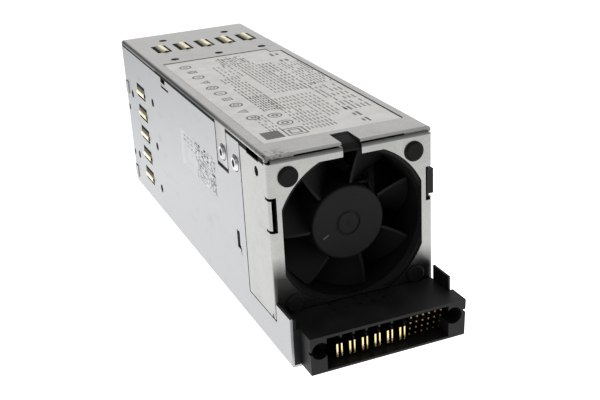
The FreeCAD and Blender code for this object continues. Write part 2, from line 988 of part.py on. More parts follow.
def make_fan_frame():
    """Square fan housing: two flanges, a round duct with a flared mouth, struts and the motor base."""
    body = new_body("FanFrame")
    square = rectangle(-fan_half, fan_z - fan_half, fan_half, fan_z + fan_half)
    pad(body, "XZ", fan_front, fan_back, square)
    round_edges(body, s.fan_corner, lambda p, d, length: abs(d.y) > 0.9)
    waist = (fan_front + s.fan_flange, fan_back - s.fan_flange)
    side = s.fan_corner * 3.0
    for x_low, x_high in both_sides(fan_half - side, fan_half + PAST):
        for z_low, z_high in both_sides(fan_half - side, fan_half + PAST):
            corner = rectangle(x_low, fan_z + z_low, x_high, fan_z + z_high)
            pocket(body, "XZ", *waist, corner)
    pocket(body, "XZ", fan_front - PAST, fan_back + PAST, circle(0.0, fan_z, duct_radius))
    post = s.rivet_radius + s.screw_clearance
    holes = [circle(x, z, post) for x, z in rivet_places()]
    pocket(body, "XZ", fan_front - PAST, waist[0] + 0.5, *holes)
    mouth = cone(
        (0.0, fan_front, fan_z), duct_radius + s.mouth_flare, duct_radius - 0.2, s.mouth_depth, "Y"
    )
    shell = cut(body, [mouth])
    duct = ring(
        (0.0, fan_front + s.mouth_depth, fan_z),
        duct_radius + s.duct_wall,
        duct_radius,
        s.fan_depth - s.mouth_depth,
        "Y",
    )
    base = rod((0.0, base_front, fan_z), s.hub_radius, s.motor_base_thickness, "Y")
    tube_front = s.hub_front + s.hub_wall + 4.0
    tube = rod((0.0, tube_front, fan_z), s.bearing_radius + 1.0, fan_back - tube_front, "Y")
    struts = []
    for i in range(4):
        strut = doc.addObject("Part::Box", "Strut")
        bind(strut, "Length", duct_radius - 10.0 + 0.3)
        bind(strut, "Width", s.motor_base_thickness + 1.0)
        bind(strut, "Height", s.strut_width)
        turn = Rotation(Vector(0, 1, 0), 45 + 90 * i)
        start = turn.multVec(Vector(10.0, 0, -float(s.strut_width) / 2))
        put(strut, (start.x, base_front - 1.0, fan_z + start.z), turn)
        struts.append(strut)
    bore = rod((0.0, tube_front - PAST, fan_z), s.bearing_radius, fan_back - tube_front + PAST - 1.0, "Y")
    node("fan_frame", cut(join([shell, duct, base, tube] + struts), [bore]))


def make_rivets():
    """Push rivets that go through the face into the fan's corner holes."""
    tall, big = s.rivet_head_height, s.rivet_head_radius
    for i, (x, z) in enumerate(rivet_places(), start=1):
        brim = rod((x, -tall * 0.45, z), big, tall * 0.45, "Y")
        dome = cone((x, -tall, z), big * 0.8, big * 0.97, tall * 0.55, "Y")
        shank = rod((x, 0.0, z), s.rivet_radius, s.sheet + s.fan_flange + s.rivet_grip, "Y")
        node(f"fan_rivet_{i}", join([brim, dome, shank]))


def make_wire_guard():
    """Plastic piece that slopes down over the notch in the lid to the fan's face."""
    body = new_body("Guard")
    low = fan_z + fan_half
    high = s.case_height
    back = s.cover_notch_back - 0.3
    pad(
        body,
        "YZ",
        0.1 - s.wire_notch_left,
        s.wire_notch_right - 0.1,
        outline(
            (fan_front, low),
            (back, low),
            (back, high - 0.4),
            (fan_front + 2.0, high - 1.2),
            (fan_front + 0.6, high - 2.0),
            (fan_front, high - 3.0),
        ),
    )
    node("wire_guard", body)


def make_keying_tab():
    """Black tab beside the fan that stands out of the slot in the right corner."""
    low = corner_slot_low + s.corner_strip + 1.4
    outer = half_width - s.corner_strip + 0.1
    base = block(
        (inner_half - s.fan_side_gap + 0.1, fan_front + 0.2, low - 2.0),
        (inner_half - 0.1, s.corner_slot_wrap - 0.4, low + 11.0),
    )
    tab = block((outer - 1.2, 0.4, low), (half_width + 0.6, s.corner_slot_wrap - 0.4, low + 9.9))
    node("keying_tab", join([base, tab]))


def make_motor():
    """Fixed half of the fan's motor, round the tube that carries the bearings."""
    tube = s.bearing_radius + 1.0
    magnet_inner = s.hub_radius - s.hub_wall - s.magnet_thickness
    reach = magnet_inner - s.air_gap
    front = s.hub_front + s.hub_wall + 5.0
    stack = 7.0
    core = ring((0.0, front, fan_z), tube + 1.6, tube, stack, "Y")
    tips, coils = [], []
    for i in range(4):
        turn = Rotation(Vector(0, 1, 0), 90 * i)
        pole = doc.addObject("Part::Box", "Pole")
        bind(pole, "Length", reach - tube - 0.6)
        bind(pole, "Width", stack)
        bind(pole, "Height", 2.4)
        start = turn.multVec(Vector(float(tube) + 0.6, 0, -1.2))
        put(pole, (start.x, front, fan_z + start.z), turn)
        tips.append(pole)
        coil = doc.addObject("Part::Box", "Coil")
        bind(coil, "Length", reach - tube - 4.4)
        bind(coil, "Width", stack + 2.4)
        bind(coil, "Height", 6.0)
        start = turn.multVec(Vector(float(tube) + 1.9, 0, -3.0))
        put(coil, (start.x, front - 1.2, fan_z + start.z), turn)
        coils.append(coil)
    rim = ring((0.0, front, fan_z), reach, reach - 1.6, stack, "Y")
    gaps = []
    for i in range(4):
        turn = Rotation(Vector(0, 1, 0), 45 + 90 * i)
        gap = doc.addObject("Part::Box", "Slot")
        bind(gap, "Length", 6.0)
        bind(gap, "Width", stack + 2.0)
        bind(gap, "Height", 2.0)
        start = turn.multVec(Vector(float(reach) - 4.0, 0, -1.0))
        put(gap, (start.x, front - 1.0, fan_z + start.z), turn)
        gaps.append(gap)
    core_node = join([core, cut(rim, gaps)] + tips)
    node("stator_core", core_node)
    for i, coil in enumerate(coils, start=1):
        node(f"stator_coil_{i}", cut(coil, [core_node]))
    board = s.hub_front + s.hub_wall + 5.0 + stack + 1.6
    node(
        "fan_circuit_board",
        ring((0.0, board, fan_z), magnet_inner - 1.0, tube, 1.0, "Y"),
    )
    starts = [s.hub_front + s.hub_wall + 4.2, fan_back - 1.0 - s.bearing_width]
    bore = s.shaft_radius + s.running_gap
    for label, y in zip(("front", "rear"), starts):
        race = ring((0.0, y, fan_z), s.bearing_radius, bore, s.bearing_width, "Y")
        node(f"fan_bearing_{label}", race)


def blade_section(body, radius, front_x, back_x, camber):
    """A thin cambered section of a blade in the plane at a radius, from its front to its back edge."""
    sketch = sketch_at(body, "XY", radius)
    front_y = s.hub_front + s.blade_inset
    back_y = front_y + s.blade_depth
    across = Vector(float(back_y - front_y), float(back_x) - float(front_x), 0).normalize()
    start = Vector(float(front_x), float(front_y), 0)
    end = Vector(float(back_x), float(back_y), 0)
    middle = (start + end) * 0.5 - across * camber
    shift = Vector(float(s.blade_half_thickness), 0, 0)
    sketch.addGeometry(Part.Arc(start - shift, middle - shift * 1.5, end - shift))
    sketch.addGeometry(Part.LineSegment(end - shift, end + shift))
    sketch.addGeometry(Part.Arc(end + shift, middle + shift * 1.5, start + shift))
    sketch.addGeometry(Part.LineSegment(start + shift, start - shift))
    return sketch


def make_impeller():
    """Hub cup with seven twisted blades, lofted through three sections and repeated about the axis."""
    body = new_body("Impeller")
    cup = pad(body, "XZ", s.hub_front, hub_back, circle(0.0, 0.0, s.hub_radius))
    doc.recompute()
    rim = [
        f"Edge{i}"
        for i, edge in enumerate(cup.Shape.Edges, start=1)
        if edge.Curve.TypeId == "Part::GeomCircle" and near(edge.Curve.Center.y, s.hub_front)
    ]
    soft = body.newObject("PartDesign::Fillet", "Fillet")
    soft.Base = (cup, rim)
    bind(soft, "Radius", 1.0)
    sections = [
        blade_section(body, s.hub_radius - s.hub_wall * 0.5, -5.8, 2.5, 0.8),
        blade_section(body, (s.hub_radius + duct_radius) / 2, -7.6, 7.0, 1.4),
        blade_section(body, duct_radius, -8.4, 12.0, 2.0),
    ]
    loft = body.newObject("PartDesign::AdditiveLoft", "Blade")
    loft.Profile = sections[0]
    loft.Sections = sections[1:]
    loft.Refine = False
    blades = body.newObject("PartDesign::PolarPattern", "Blades")
    axis = [f for f in body.Origin.OriginFeatures if f.Role == "Y_Axis"][0]
    blades.Originals = [loft]
    blades.Axis = (axis, [""])
    blades.Angle = 360
    bind(blades, "Occurrences", s.blade_count)
    blades.Refine = False
    body.Tip = blades
    # the tips are turned down to the duct less the running gap
    tips = (circle(0.0, 0.0, duct_radius + 5.0), circle(0.0, 0.0, duct_radius - s.tip_gap))
    pocket(body, "XZ", s.hub_front - 1.0, hub_back + 1.0, *tips)
    inner = s.hub_radius - s.hub_wall
    pocket(body, "XZ", s.hub_front + s.hub_wall, hub_back + PAST, circle(0.0, 0.0, inner))
    pocket(
        body,
        "XZ",
        s.hub_front - PAST,
        s.hub_front + 0.25,
        circle(0.0, 0.0, s.hub_ring_radius + 0.35),
        circle(0.0, 0.0, s.hub_ring_radius - 0.35),
    )
    pocket(
        body, "XZ", s.hub_front + 0.4, s.hub_front + s.hub_wall + PAST, circle(0.0, 0.0, s.shaft_radius)
    )
    put(body, (0.0, 0.0, fan_z), Rotation(Vector(0, 1, 0), 29.7))
    node("fan_impeller", body)


def make_rotor_parts():
    front = s.hub_front + 0.4
    end = fan_back - 1.2
    node("fan_shaft", rod((0.0, front, fan_z), s.shaft_radius, end - front, "Y"))
    outer = s.hub_radius - s.hub_wall
    start = s.hub_front + s.hub_wall
    node(
        "rotor_magnet",
        ring((0.0, start, fan_z), outer, outer - s.magnet_thickness, hub_back - start - 1.0, "Y"),
    )


# ---------------------------------------------------------------- connector


def make_contacts():
    """Flat power blades in pairs, a thick one beside a thin one, and four rows of six signal pins."""
    back = s.connector_tail + 1.0
    blades = []
    for i in range(6):
        first = s.blade_pitch * i - s.blade_first - s.blade_thickness / 2
        for x, thick in ((first, s.blade_thickness), (first + s.blade_pair, s.blade_thin)):
            blades.append(block((x, -s.blade_tip, s.blade_low), (x + thick, back, s.blade_high)))
    blades = node("power_blades", group(blades))
    half = s.pin_width / 2
    pins = []
    for column in range(6):
        for row in range(4):
            x = s.pin_first + s.pin_pitch * column - half
            z = s.pin_low + s.pin_pitch * row - half
            tip = s.pin_tip - s.pin_step * (3 - row)
            pins.append(block((x, -tip, z), (x + s.pin_width, back, z + s.pin_width)))
    return blades, node("signal_pins", group(pins))


def make_connector():
    """Moulded housing: a wide mating face in front of a body that fills the case under the fan."""
    blades, pins = make_contacts()
    body = new_body("Connector")
    front, low = -s.connector_front, s.sheet - s.connector_drop
    high = s.bracket_bottom + s.connector_under_bracket
    slab = high - s.slab_step
    left = s.connector_left_inset - half_width
    right = half_width + s.connector_overhang
    shoulder = -s.nose_length - 0.2
    slope = s.connector_taper
    pad(
        body,
        "XZ",
        front,
        shoulder,
        outline((left, low), (right - slope, low), (right, high), (left, high)),
    )
    pad(body, "XZ", shoulder, -0.4, rectangle(-inner_half, s.sheet, inner_half, slab))
    # on the right the slab laps over the tray's lower side wall and carries the fin
    lap = s.nose_right_height + 0.2
    fin_back = -s.fin_gap
    pad(body, "XZ", shoulder, fin_back, rectangle(inner_half - 1.0, lap, half_width - 0.1, slab))
    tail_top = s.bracket_bottom - 0.3
    tail = inner_half - 1.75
    pad(body, "XZ", -0.4, s.connector_tail, rectangle(-tail, s.sheet, tail, tail_top))
    round_edges(
        body,
        s.connector_edge,
        lambda p, d, length: p.y < -float(s.nose_length) and abs(d.y) > 0.9 and length > 5.0,
    )
    floor = front + s.cavity_depth
    mouth_left = left + s.cavity_left_wall
    mouth_right = right - s.cavity_right_wall
    mouth_low, mouth_high = low + s.cavity_lower_wall, high - s.cavity_upper_wall
    pocket(
        body,
        "XZ",
        front - PAST,
        floor,
        rectangle(mouth_left, mouth_low, mouth_right, mouth_high),
    )
    for x in (left + s.socket_left_inset, right - s.socket_right_inset):
        pocket(body, "XZ", front - PAST, floor, circle(x, s.socket_z, s.socket_radius))
    for i in range(5):
        x = s.blade_pitch * i - s.blade_first - 0.5
        pad(
            body,
            "XZ",
            front + 1.0,
            floor,
            rectangle(x, mouth_high - 1.6, x + 0.9, mouth_high + 0.2),
        )
    # room for the heads of the lower rivets
    heads = [circle(x, z, s.rivet_head_radius + 0.1) for x, z in rivet_places() if float(z) < float(fan_z)]
    pocket(body, "XZ", -s.rivet_head_height - 0.1, 0.0, *heads)
    # snap notches on the front's upright edges, and dimples on the slab before the fan
    notch = s.socket_z + 0.3
    pocket(
        body,
        "XZ",
        front - PAST,
        front + 1.6,
        rectangle(left - PAST, notch - 1.1, left + 0.8, notch),
        rectangle(right - slope - 0.6, notch, right + PAST, notch + 1.2),
    )
    dimples = []
    for i in range(5):
        for y in (-1.8, -6.2):
            dimples.append(circle(s.blade_pitch * i - 12.4, y, 0.9))
    pocket(body, "XY", slab - 0.5, high + PAST, *dimples)
    ear = s.ear_height
    pad(
        body,
        "YZ",
        -inner_half,
        s.ear_thickness - inner_half,
        outline((-s.nose_length, slab - 0.5), (-0.4, slab - 0.5), (-0.4, ear), (-s.nose_length, ear)),
    )
    fin = half_width - 0.1
    pad(
        body,
        "YZ",
        fin - s.fin_thickness,
        fin,
        outline(
            (-s.nose_length, slab - 0.5),
            (fin_back, slab - 0.5),
            (fin_back, s.fin_height),
            (-s.nose_length, s.fin_height),
        ),
    )
    node("connector_housing", cut(body, [blades, pins]))


# ---------------------------------------------------------------- rear end

inlet_x = s.inlet_from_left - inner_half
arm_outer = inner_half - s.latch_arm_inset
arm_inner = arm_outer - s.latch_arm_thickness
latch_slot_inner = arm_inner - 4.6
handle_x = halfway(inlet_x + s.inlet_width / 2 + s.inlet_flange, latch_slot_inner)
handle_high = wall_top - s.handle_drop
lamp_x, lamp_z = inner_half - s.lamp_inset, wall_top - s.lamp_drop


def vent_places():
    """Centres of the round vents: staggered rows that leave room for what the panel carries."""
    edge = float(s.vent_radius + s.vent_margin)
    left_end = float(s.sheet - inner_half) + edge
    right_end = float(handle_x - s.handle_width / 2) - edge
    low_end = float(s.inlet_z + s.inlet_height / 2 + s.inlet_flange) + edge
    high_end = float(wall_top - s.lip_overlap) - edge
    step = float(s.vent_pitch) * math.sin(math.radians(60))
    rows = 1 + math.floor((high_end - low_end) / step)
    spots = []
    for row in range(rows):
        x = left_end + float(s.vent_pitch) / 2 * (row % 2)
        while x <= right_end:
            spots.append((x, low_end + step * row))
            x += float(s.vent_pitch)
    return spots


def make_rear_panel():
    """Perforated rear sheet with its side flanges."""
    body = new_body("Rear")
    shoulder = wall_top - s.lip_overlap - 0.4
    pad(
        body,
        "XZ",
        panel_front,
        panel_back,
        outline(
            (-inner_half, s.sheet),
            (inner_half, s.sheet),
            (inner_half, shoulder),
            (lip_half - 0.2, shoulder),
            (lip_half - 0.2, cover_under),
            (0.2 - lip_half, cover_under),
            (0.2 - lip_half, shoulder),
            (-inner_half, shoulder),
        ),
    )
    for low, high in both_sides(inner_half - s.sheet, inner_half):
        pad(
            body,
            "XZ",
            panel_front - s.rear_flange,
            panel_front,
            rectangle(low, s.sheet, high, shoulder),
        )
    through = (panel_front - PAST, panel_back + PAST)
    half_w, half_h = s.inlet_width / 2, s.inlet_height / 2
    pocket(
        body,
        "XZ",
        *through,
        rectangle(inlet_x - half_w, s.inlet_z - half_h, inlet_x + half_w, s.inlet_z + half_h),
    )
    pocket(body, "XZ", *through, *[circle(x, z, s.vent_radius) for x, z in vent_places()])
    pocket(
        body,
        "XZ",
        *through,
        rectangle(latch_slot_inner, s.latch_low - 0.8, arm_outer + 0.5, s.latch_high + 0.8),
    )
    screw = s.screw_radius + s.screw_clearance
    foot = s.handle_foot / 2
    pocket(
        body,
        "XZ",
        *through,
        circle(handle_x, s.handle_low + foot, screw),
        circle(handle_x, handle_high - foot, screw),
        circle(lamp_x, lamp_z, s.lamp_radius),
    )
    node("rear_panel", body)


def chamfered(x, z, half_w, half_h, corner):
    """Outline of an inlet: a rectangle with its two upper corners cut off."""
    return outline(
        (x - half_w, z - half_h),
        (x + half_w, z - half_h),
        (x + half_w, z + half_h - corner),
        (x + half_w - corner, z + half_h),
        (x - half_w + corner, z + half_h),
        (x - half_w, z + half_h - corner),
    )


def make_inlet():
    """Snap-in mains inlet: flange, body and mouth, with three prongs that start well inside."""
    x, z = inlet_x, s.inlet_z
    half_w, half_h = s.inlet_width / 2, s.inlet_height / 2
    body = new_body("Inlet")
    back = panel_back - s.inlet_depth
    mouth = panel_back + s.inlet_flange_thickness
    pad(body, "XZ", back, panel_back, rectangle(x - half_w, z - half_h, x + half_w, z + half_h))
    rim_w, rim_h = half_w + s.inlet_flange, half_h + s.inlet_flange
    pad(body, "XZ", panel_back, mouth, rectangle(x - rim_w, z - rim_h, x + rim_w, z + rim_h))
    round_edges(body, 1.5, lambda p, d, length: p.y > float(panel_back) and abs(d.y) > 0.9)
    floor = mouth - s.inlet_recess
    inner_w, inner_h = half_w - s.inlet_wall, half_h - s.inlet_wall
    pocket(body, "XZ", floor, mouth + PAST, chamfered(x, z, inner_w, inner_h, s.inlet_chamfer))
    prongs = []
    places = [(-s.prong_spacing / 2, -s.prong_offset / 2), (s.prong_spacing / 2, -s.prong_offset / 2)]
    places.append((Size(0.0, "0"), s.prong_offset / 2))
    for dx, dz in places:
        low = (x + dx - s.prong_thickness / 2, back - 2.0, z + dz - s.prong_width / 2)
        high = (x + dx + s.prong_thickness / 2, floor + s.prong_length, z + dz + s.prong_width / 2)
        prongs.append(block(low, high))
    prongs = node("inlet_prongs", group(prongs))
    node("inlet_housing", cut(body, [prongs]))


def make_handle():
    """Fixed moulded bail, screwed on from inside the rear panel."""
    body = new_body("Handle")
    low, high, bar = s.handle_low, handle_high, s.handle_bar
    near_y, far_y = panel_back, panel_back + s.handle_reach
    x_low, x_high = handle_x - s.handle_width / 2, handle_x + s.handle_width / 2
    pad(body, "YZ", x_low, x_high, rectangle(near_y, low, far_y, high))
    round_edges(body, 9.0, lambda p, d, length: near(p.y, far_y) and abs(d.x) > 0.9)
    inner_low, inner_high = low + s.handle_foot, high - s.handle_foot
    pocket(
        body,
        "YZ",
        x_low - PAST,
        x_high + PAST,
        outline(
            (near_y - PAST, inner_low),
            (near_y + 3.0, inner_low),
            (far_y - bar - 5.0, low + bar),
            (far_y - bar, low + bar + 5.0),
            (far_y - bar, high - bar - 5.0),
            (far_y - bar - 5.0, high - bar),
            (near_y + 3.0, inner_high),
            (near_y - PAST, inner_high),
        ),
    )
    round_edges(
        body,
        1.8,
        lambda p, d, length: near(abs(p.x - float(handle_x)), s.handle_width / 2)
        and near(p.y, far_y)
        or near(p.y, far_y - bar) and abs(d.z) > 0.9,
    )
    foot = s.handle_foot / 2
    screws = []
    for label, z in (("lower", low + foot), ("upper", high - foot)):
        head = rod((handle_x, panel_front - 1.6, z), s.screw_head_radius * 0.85, 1.6, "Y")
        shank = rod((handle_x, panel_front, z), s.screw_radius, s.sheet + 7.0, "Y")
        slot = block(
            (handle_x - 2.0, panel_front - 1.6, z - 0.35),
            (handle_x + 2.0, panel_front - 0.9, z + 0.35),
        )
        screws.append(node(f"handle_screw_{label}", cut(join([head, shank]), [slot])))
    node("handle", cut(body, screws))


def make_lamp():
    stem = rod((lamp_x, panel_front - 2.0, lamp_z), s.lamp_radius, s.sheet + 2.5, "Y")
    rim = rod((lamp_x, panel_back, lamp_z), s.lamp_radius + 0.5, 0.8, "Y")
    node("status_lens", join([stem, rim]))


def latch_pivot():
    return inner_half - s.latch_pivot_inset, s.case_length - s.latch_pivot_to_rear


def make_latch():
    """Lever on an upright pin: its tongue passes the right wall and its pad sticks out at the rear."""
    px, py = latch_pivot()
    low, high, mid = s.latch_low, s.latch_high, s.latch_boss_high
    body = new_body("Lever")
    far = panel_back + s.latch_pad_length
    inner, outer = arm_inner, arm_outer
    pad(
        body,
        "YZ",
        inner,
        outer,
        outline(
            (py, low),
            (far, low),
            (far, high),
            (py + 9.0, high),
            (py + 6.0, mid),
            (py, mid),
        ),
    )
    round_edges(body, 3.0, lambda p, d, length: near(p.y, far) and abs(d.x) > 0.9)
    # thumb pad, bent a little towards the finger
    pad(
        body,
        "XY",
        low + 1.5,
        high - 1.5,
        outline(
            (outer - 0.2, far - 13.0),
            (outer + 1.6, far - 10.0),
            (outer + 2.6, far - 1.0),
            (outer + 1.6, far - 0.2),
            (outer - 0.2, far - 0.2),
        ),
    )
    tongue = s.case_length - s.latch_tongue_to_rear
    tip = half_width + s.latch_tongue_reach
    pad(
        body,
        "XY",
        low + 3.0,
        high - 3.0,
        outline(
            (outer - 0.2, tongue),
            (half_width, tongue),
            (tip, tongue + 2.4),
            (tip, tongue + s.latch_tongue_length),
            (outer - 0.2, tongue + s.latch_tongue_length),
        ),
    )
    boss = rod((px, py, low), s.latch_boss_radius, mid - low, "Z")
    bore = rod((px, py, low - PAST), s.latch_pin_radius + s.running_gap, mid - low + 2 * PAST, "Z")
    node("latch_lever", cut(join([body, boss]), [bore]))


def make_latch_mounting():
    """Clip welded to the right wall, the pin it holds, and the spring round the pin."""
    px, py = latch_pivot()
    low, high = s.latch_low - 0.4, s.latch_high - 1.0
    web = px - s.latch_boss_radius - 2.0
    thick = 0.8
    body = new_body("Clip")
    wall = inner_half
    pad(
        body,
        "XZ",
        py - 4.5,
        py + 4.5,
        outline(
            (web, low - thick),
            (wall - thick, low - thick),
            (wall - thick, low - 6.0),
            (wall, low - 6.0),
            (wall, low),
            (web + thick, low),
            (web + thick, high),
            (wall, high),
            (wall, high + 6.0),
            (wall - thick, high + 6.0),
            (wall - thick, high + thick),
            (web, high + thick),
        ),
    )
    pin_low, pin_high = low - thick - 0.6, high + thick + 0.4
    shank = rod((px, py, pin_low), s.latch_pin_radius, pin_high - pin_low, "Z")
    head = rod((px, py, pin_high), s.latch_pin_radius + 1.0, 0.8, "Z")
    foot = rod((px, py, pin_low), s.latch_pin_radius + 0.5, 0.6, "Z")
    pin = node("latch_pin", join([shank, head, foot]))
    node("latch_bracket", cut(body, [pin]))
    # the coil of square wire stands on the lever's boss and runs up to the clip
    start = s.latch_boss_high + s.spring_wire
    pitch = s.spring_wire * 2 + 0.25
    helix = doc.addObject("Part::Helix", "Coil")
    bind(helix, "Radius", s.spring_radius)
    bind(helix, "Pitch", pitch)
    bind(helix, "Height", pitch * s.spring_turns)
    put(helix, (px, py, start))
    wire = doc.addObject("Part::RegularPolygon", "Wire")
    wire.Polygon = 4
    bind(wire, "Circumradius", s.spring_wire)
    put(wire, (px + s.spring_radius, py, start), Rotation(Vector(1, 0, 0), 90))
    sweep = doc.addObject("Part::Sweep", "Spring")
    sweep.Sections = [wire]
    sweep.Spine = (helix, ["Edge1"])
    sweep.Solid = True
    sweep.Frenet = True
    node("latch_spring", sweep)


# ---------------------------------------------------------------- electronics

board_top = s.board_z + s.board_thickness
board_half = inner_half - s.board_side_gap
board_back = s.case_length - s.board_to_rear
fin_tip = board_half - s.heatsink_base - s.heatsink_fin
toroid_y = board_back - s.toroid_to_board_end


def standoff_places():
    x = board_half - s.standoff_inset
    heatsink_back = s.heatsink_front + s.heatsink_length
    ys = (s.board_front + 6.0, heatsink_back + 5.0, board_back - 8.0)
    return [(side, y) for side in (-x, x) for y in ys]


def make_board():
    """Main board on its pillars."""
    body = new_body("Board")
    pad(
        body,
        "XY",
        s.board_z,
        board_top,
        rectangle(-board_half, s.board_front, board_half, board_back),
    )
    hole = s.screw_radius + s.screw_clearance
    holes = [circle(x, y, hole) for x, y in standoff_places()]
    pocket(body, "XY", s.board_z - PAST, board_top + PAST, *holes)
    node("main_board", body)
    posts, screws = [], []
    for x, y in standoff_places():
        post = rod((x, y, s.sheet), s.standoff_radius, s.board_z - s.sheet, "Z")
        bore = rod((x, y, s.sheet + 0.6), s.screw_radius, s.board_z - s.sheet, "Z")
        posts.append(cut(post, [bore]))
        shank = rod((x, y, s.sheet + 1.0), s.screw_radius, board_top - s.sheet - 1.0, "Z")
        head = rod((x, y, board_top), s.standoff_radius - 0.2, 1.6, "Z")
        slot = block((x - 1.8, y - 0.35, board_top + 1.0), (x + 1.8, y + 0.35, board_top + 1.6))
        screws.append(cut(join([shank, head]), [slot]))
    node("board_standoffs", group(posts))
    node("board_screws", group(screws))


def make_liner():
    """Black insulating film folded round the board: floor, both sides and a flap over the top."""
    inner = board_half + s.liner_gap
    outer = inner + s.liner
    low, high = s.sheet, wall_top - s.liner_headroom
    front, back = s.liner_front, s.case_length - 3.6
    tube = cut(
        block((-outer, front, low), (outer, back, high)),
        [block((-inner, front - 1.0, low + s.liner), (inner, back + 1.0, high - s.liner))],
    )
    floor = block((-outer, s.board_front + 1.0, low), (outer, front + 1.0, low + s.liner))
    # open ahead of the inlet and round the latch, and cleared for the pillars and the side screws
    reliefs = [
        block((-inner, board_back, low - 1.0), (outer + 1.0, back + 1.0, high - s.liner)),
        block((inner - 1.0, latch_pivot()[1] - 9.0, low + 1.0), (outer + 1.0, back, high - 2.0)),
    ]
    for x, y in standoff_places():
        reliefs.append(rod((x, y, low - 1.0), s.standoff_radius + 0.4, s.liner + 2.0, "Z"))
    for y in (cover_screw_y, bracket_screw_y):
        shank = s.screw_radius + 0.5
        reliefs.append(rod((-outer - 1.0, y, side_screw_z), shank, (outer + 1.0) * 2, "X"))
    node("insulating_liner", cut(join([tube, floor]), reliefs))


def make_heatsinks():
    """A flat base along each side of the board with fins towards the middle."""
    top = side_screw_z - s.heatsink_under_screws
    step = (top - board_top) / 6
    for label, side in (("heatsink_primary", -1), ("heatsink_secondary", 1)):
        body = new_body("Heatsink")
        inner = board_half - s.heatsink_base
        corners = [(board_half, board_top), (board_half, top)]
        for i in range(6):
            z = top - step * i
            corners += [(fin_tip, z), (fin_tip, z - 1.4), (inner, z - 1.4)]
            corners.append((inner, z - step))
        if side < 0:
            corners = [(-x, z) for x, z in corners]
        pad(
            body,
            "XZ",
            s.heatsink_front,
            s.heatsink_front + s.heatsink_length,
            outline(*corners),
        )
        node(label, body)


def make_transformer():
    """Cores with two windows, and the winding that fills them round the middle leg."""
    build = s.winding_build
    front = s.small_can_y + s.small_can_radius + s.parts_gap + 11.0 + build
    back = toroid_y - s.toroid_radius - s.parts_gap - build - 0.5
    half, leg = fin_tip - s.transformer_side_gap, s.transformer_leg
    low, high = s.transformer_low, s.transformer_low + s.transformer_height
    sill, head = low + leg + 1.0, high - leg - 1.0
    body = new_body("Core")
    pad(body, "XZ", front, back, rectangle(-half, low, half, high))
    for start, end in both_sides(leg, half - leg):
        pocket(body, "XZ", front - PAST, back + PAST, rectangle(start, sill, end, head))
    node("transformer_core", body)
    gap = s.winding_gap
    coil = new_body("Winding")
    wide = half - leg - gap * 2
    pad(
        coil,
        "XY",
        sill + gap,
        head - gap,
        rectangle(-wide, front - build, wide, back + build),
    )
    round_edges(coil, leg, lambda p, d, length: abs(d.z) > 0.9)
    pocket(
        coil,
        "XY",
        sill + gap - PAST,
        head - gap + PAST,
        rectangle(-leg - gap, front - gap, leg + gap, back + gap),
    )
    feet = [
        block((-wide + 3.0, y, board_top), (wide - 3.0, y + 4.0, sill + gap))
        for y in (front - build + 1.0, back + build - 5.0)
    ]
    node("transformer_winding", join([coil] + feet))


def make_capacitors():
    """Two large cans near the inlet and a row of small ones behind the fan."""
    tall = 4.0
    for label, side in (("left", -1), ("right", 1)):
        x, y = (s.bulk_radius + 0.6) * side, board_back - s.bulk_to_board_end
        can = rod((x, y, board_top), s.bulk_radius, s.bulk_height, "Z")
        groove = ring((x, y, board_top + tall), s.bulk_radius + 1.0, s.bulk_radius - 0.6, 1.0, "Z")
        node(f"bulk_capacitor_{label}", cut(can, [groove]))
    small = []
    for i in range(-2, 3):
        x, y = s.small_can_pitch * i, s.small_can_y
        small.append(rod((x, y, board_top), s.small_can_radius, s.small_can_height, "Z"))
    node("output_capacitors", group(small))


def make_chokes():
    """A wound toroid that lies on the board, and the mains filter's choke."""
    at = (0.0, toroid_y, board_top)
    node("pfc_choke", ring(at, s.toroid_radius, s.toroid_bore, s.toroid_height, "Z"))
    left, back = -s.filter_width, board_back - 4.0
    front, low = back - s.filter_depth, board_top + 2.0
    leg = s.filter_leg
    core = block((left, front, low), (0.0, back, low + s.filter_height))
    window = block(
        (left + leg, front - 1.0, low + leg), (-leg, back + 1.0, low + s.filter_height - leg)
    )
    base = block((left + 1.0, front + 1.0, board_top), (-1.0, back - 1.0, low + 1.0))
    node("emi_choke", join([cut(core, [window]), base]))


# ---------------------------------------------------------------- build


def main():
    make_tray()
    make_cover()
    make_label()
    make_sticker()
    make_bracket()
    make_side_screws()
    make_fingers()
    make_fan_frame()
    make_rivets()
    make_wire_guard()
    make_keying_tab()
    make_motor()
    make_impeller()
    make_rotor_parts()
    make_connector()
    make_rear_panel()
    make_inlet()
    make_handle()
    make_lamp()
    make_latch()
    make_latch_mounting()
    make_board()
    make_liner()
    make_heatsinks()
    make_transformer()
    make_capacitors()
    make_chokes()
    doc.recompute()
    wrong = [t for t in doc.Objects if "Invalid" in t.State or "Error" in t.State]
    assert not wrong, [(t.Name, t.Label, t.getStatusString(), [p.Label for p in t.InList]) for t in wrong]
    os.makedirs("parts", exist_ok=True)
    for label, thing in sorted(nodes.items()):
        shape = thing.Shape
        assert not shape.isNull() and shape.isValid() and shape.Volume > 0, label
        shape.exportStep(f"parts/{label}.step")
        print(f"{label:22} {len(shape.Solids):3} solids {shape.Volume:10.1f} mm3")


main()
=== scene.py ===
# %% [markdown]
# # A hot swap power supply for a server
#
# The real object is a long box of galvanised sheet steel that slides into a bay. One end mates with
# the server and carries a 60 mm fan and a black moulded connector. The other end carries the mains
# inlet, a handle and a latch. The solids could be modelled again here, but they come from a CAD model
# and already have the right size and place. So this lesson leaves them alone. It makes their
# finishes, which is what the eye takes in, and adds the thin printed and stamped details.

# %% Load the frame
import math

import bmesh
import bpy
from mathutils import Euler, Matrix, Vector


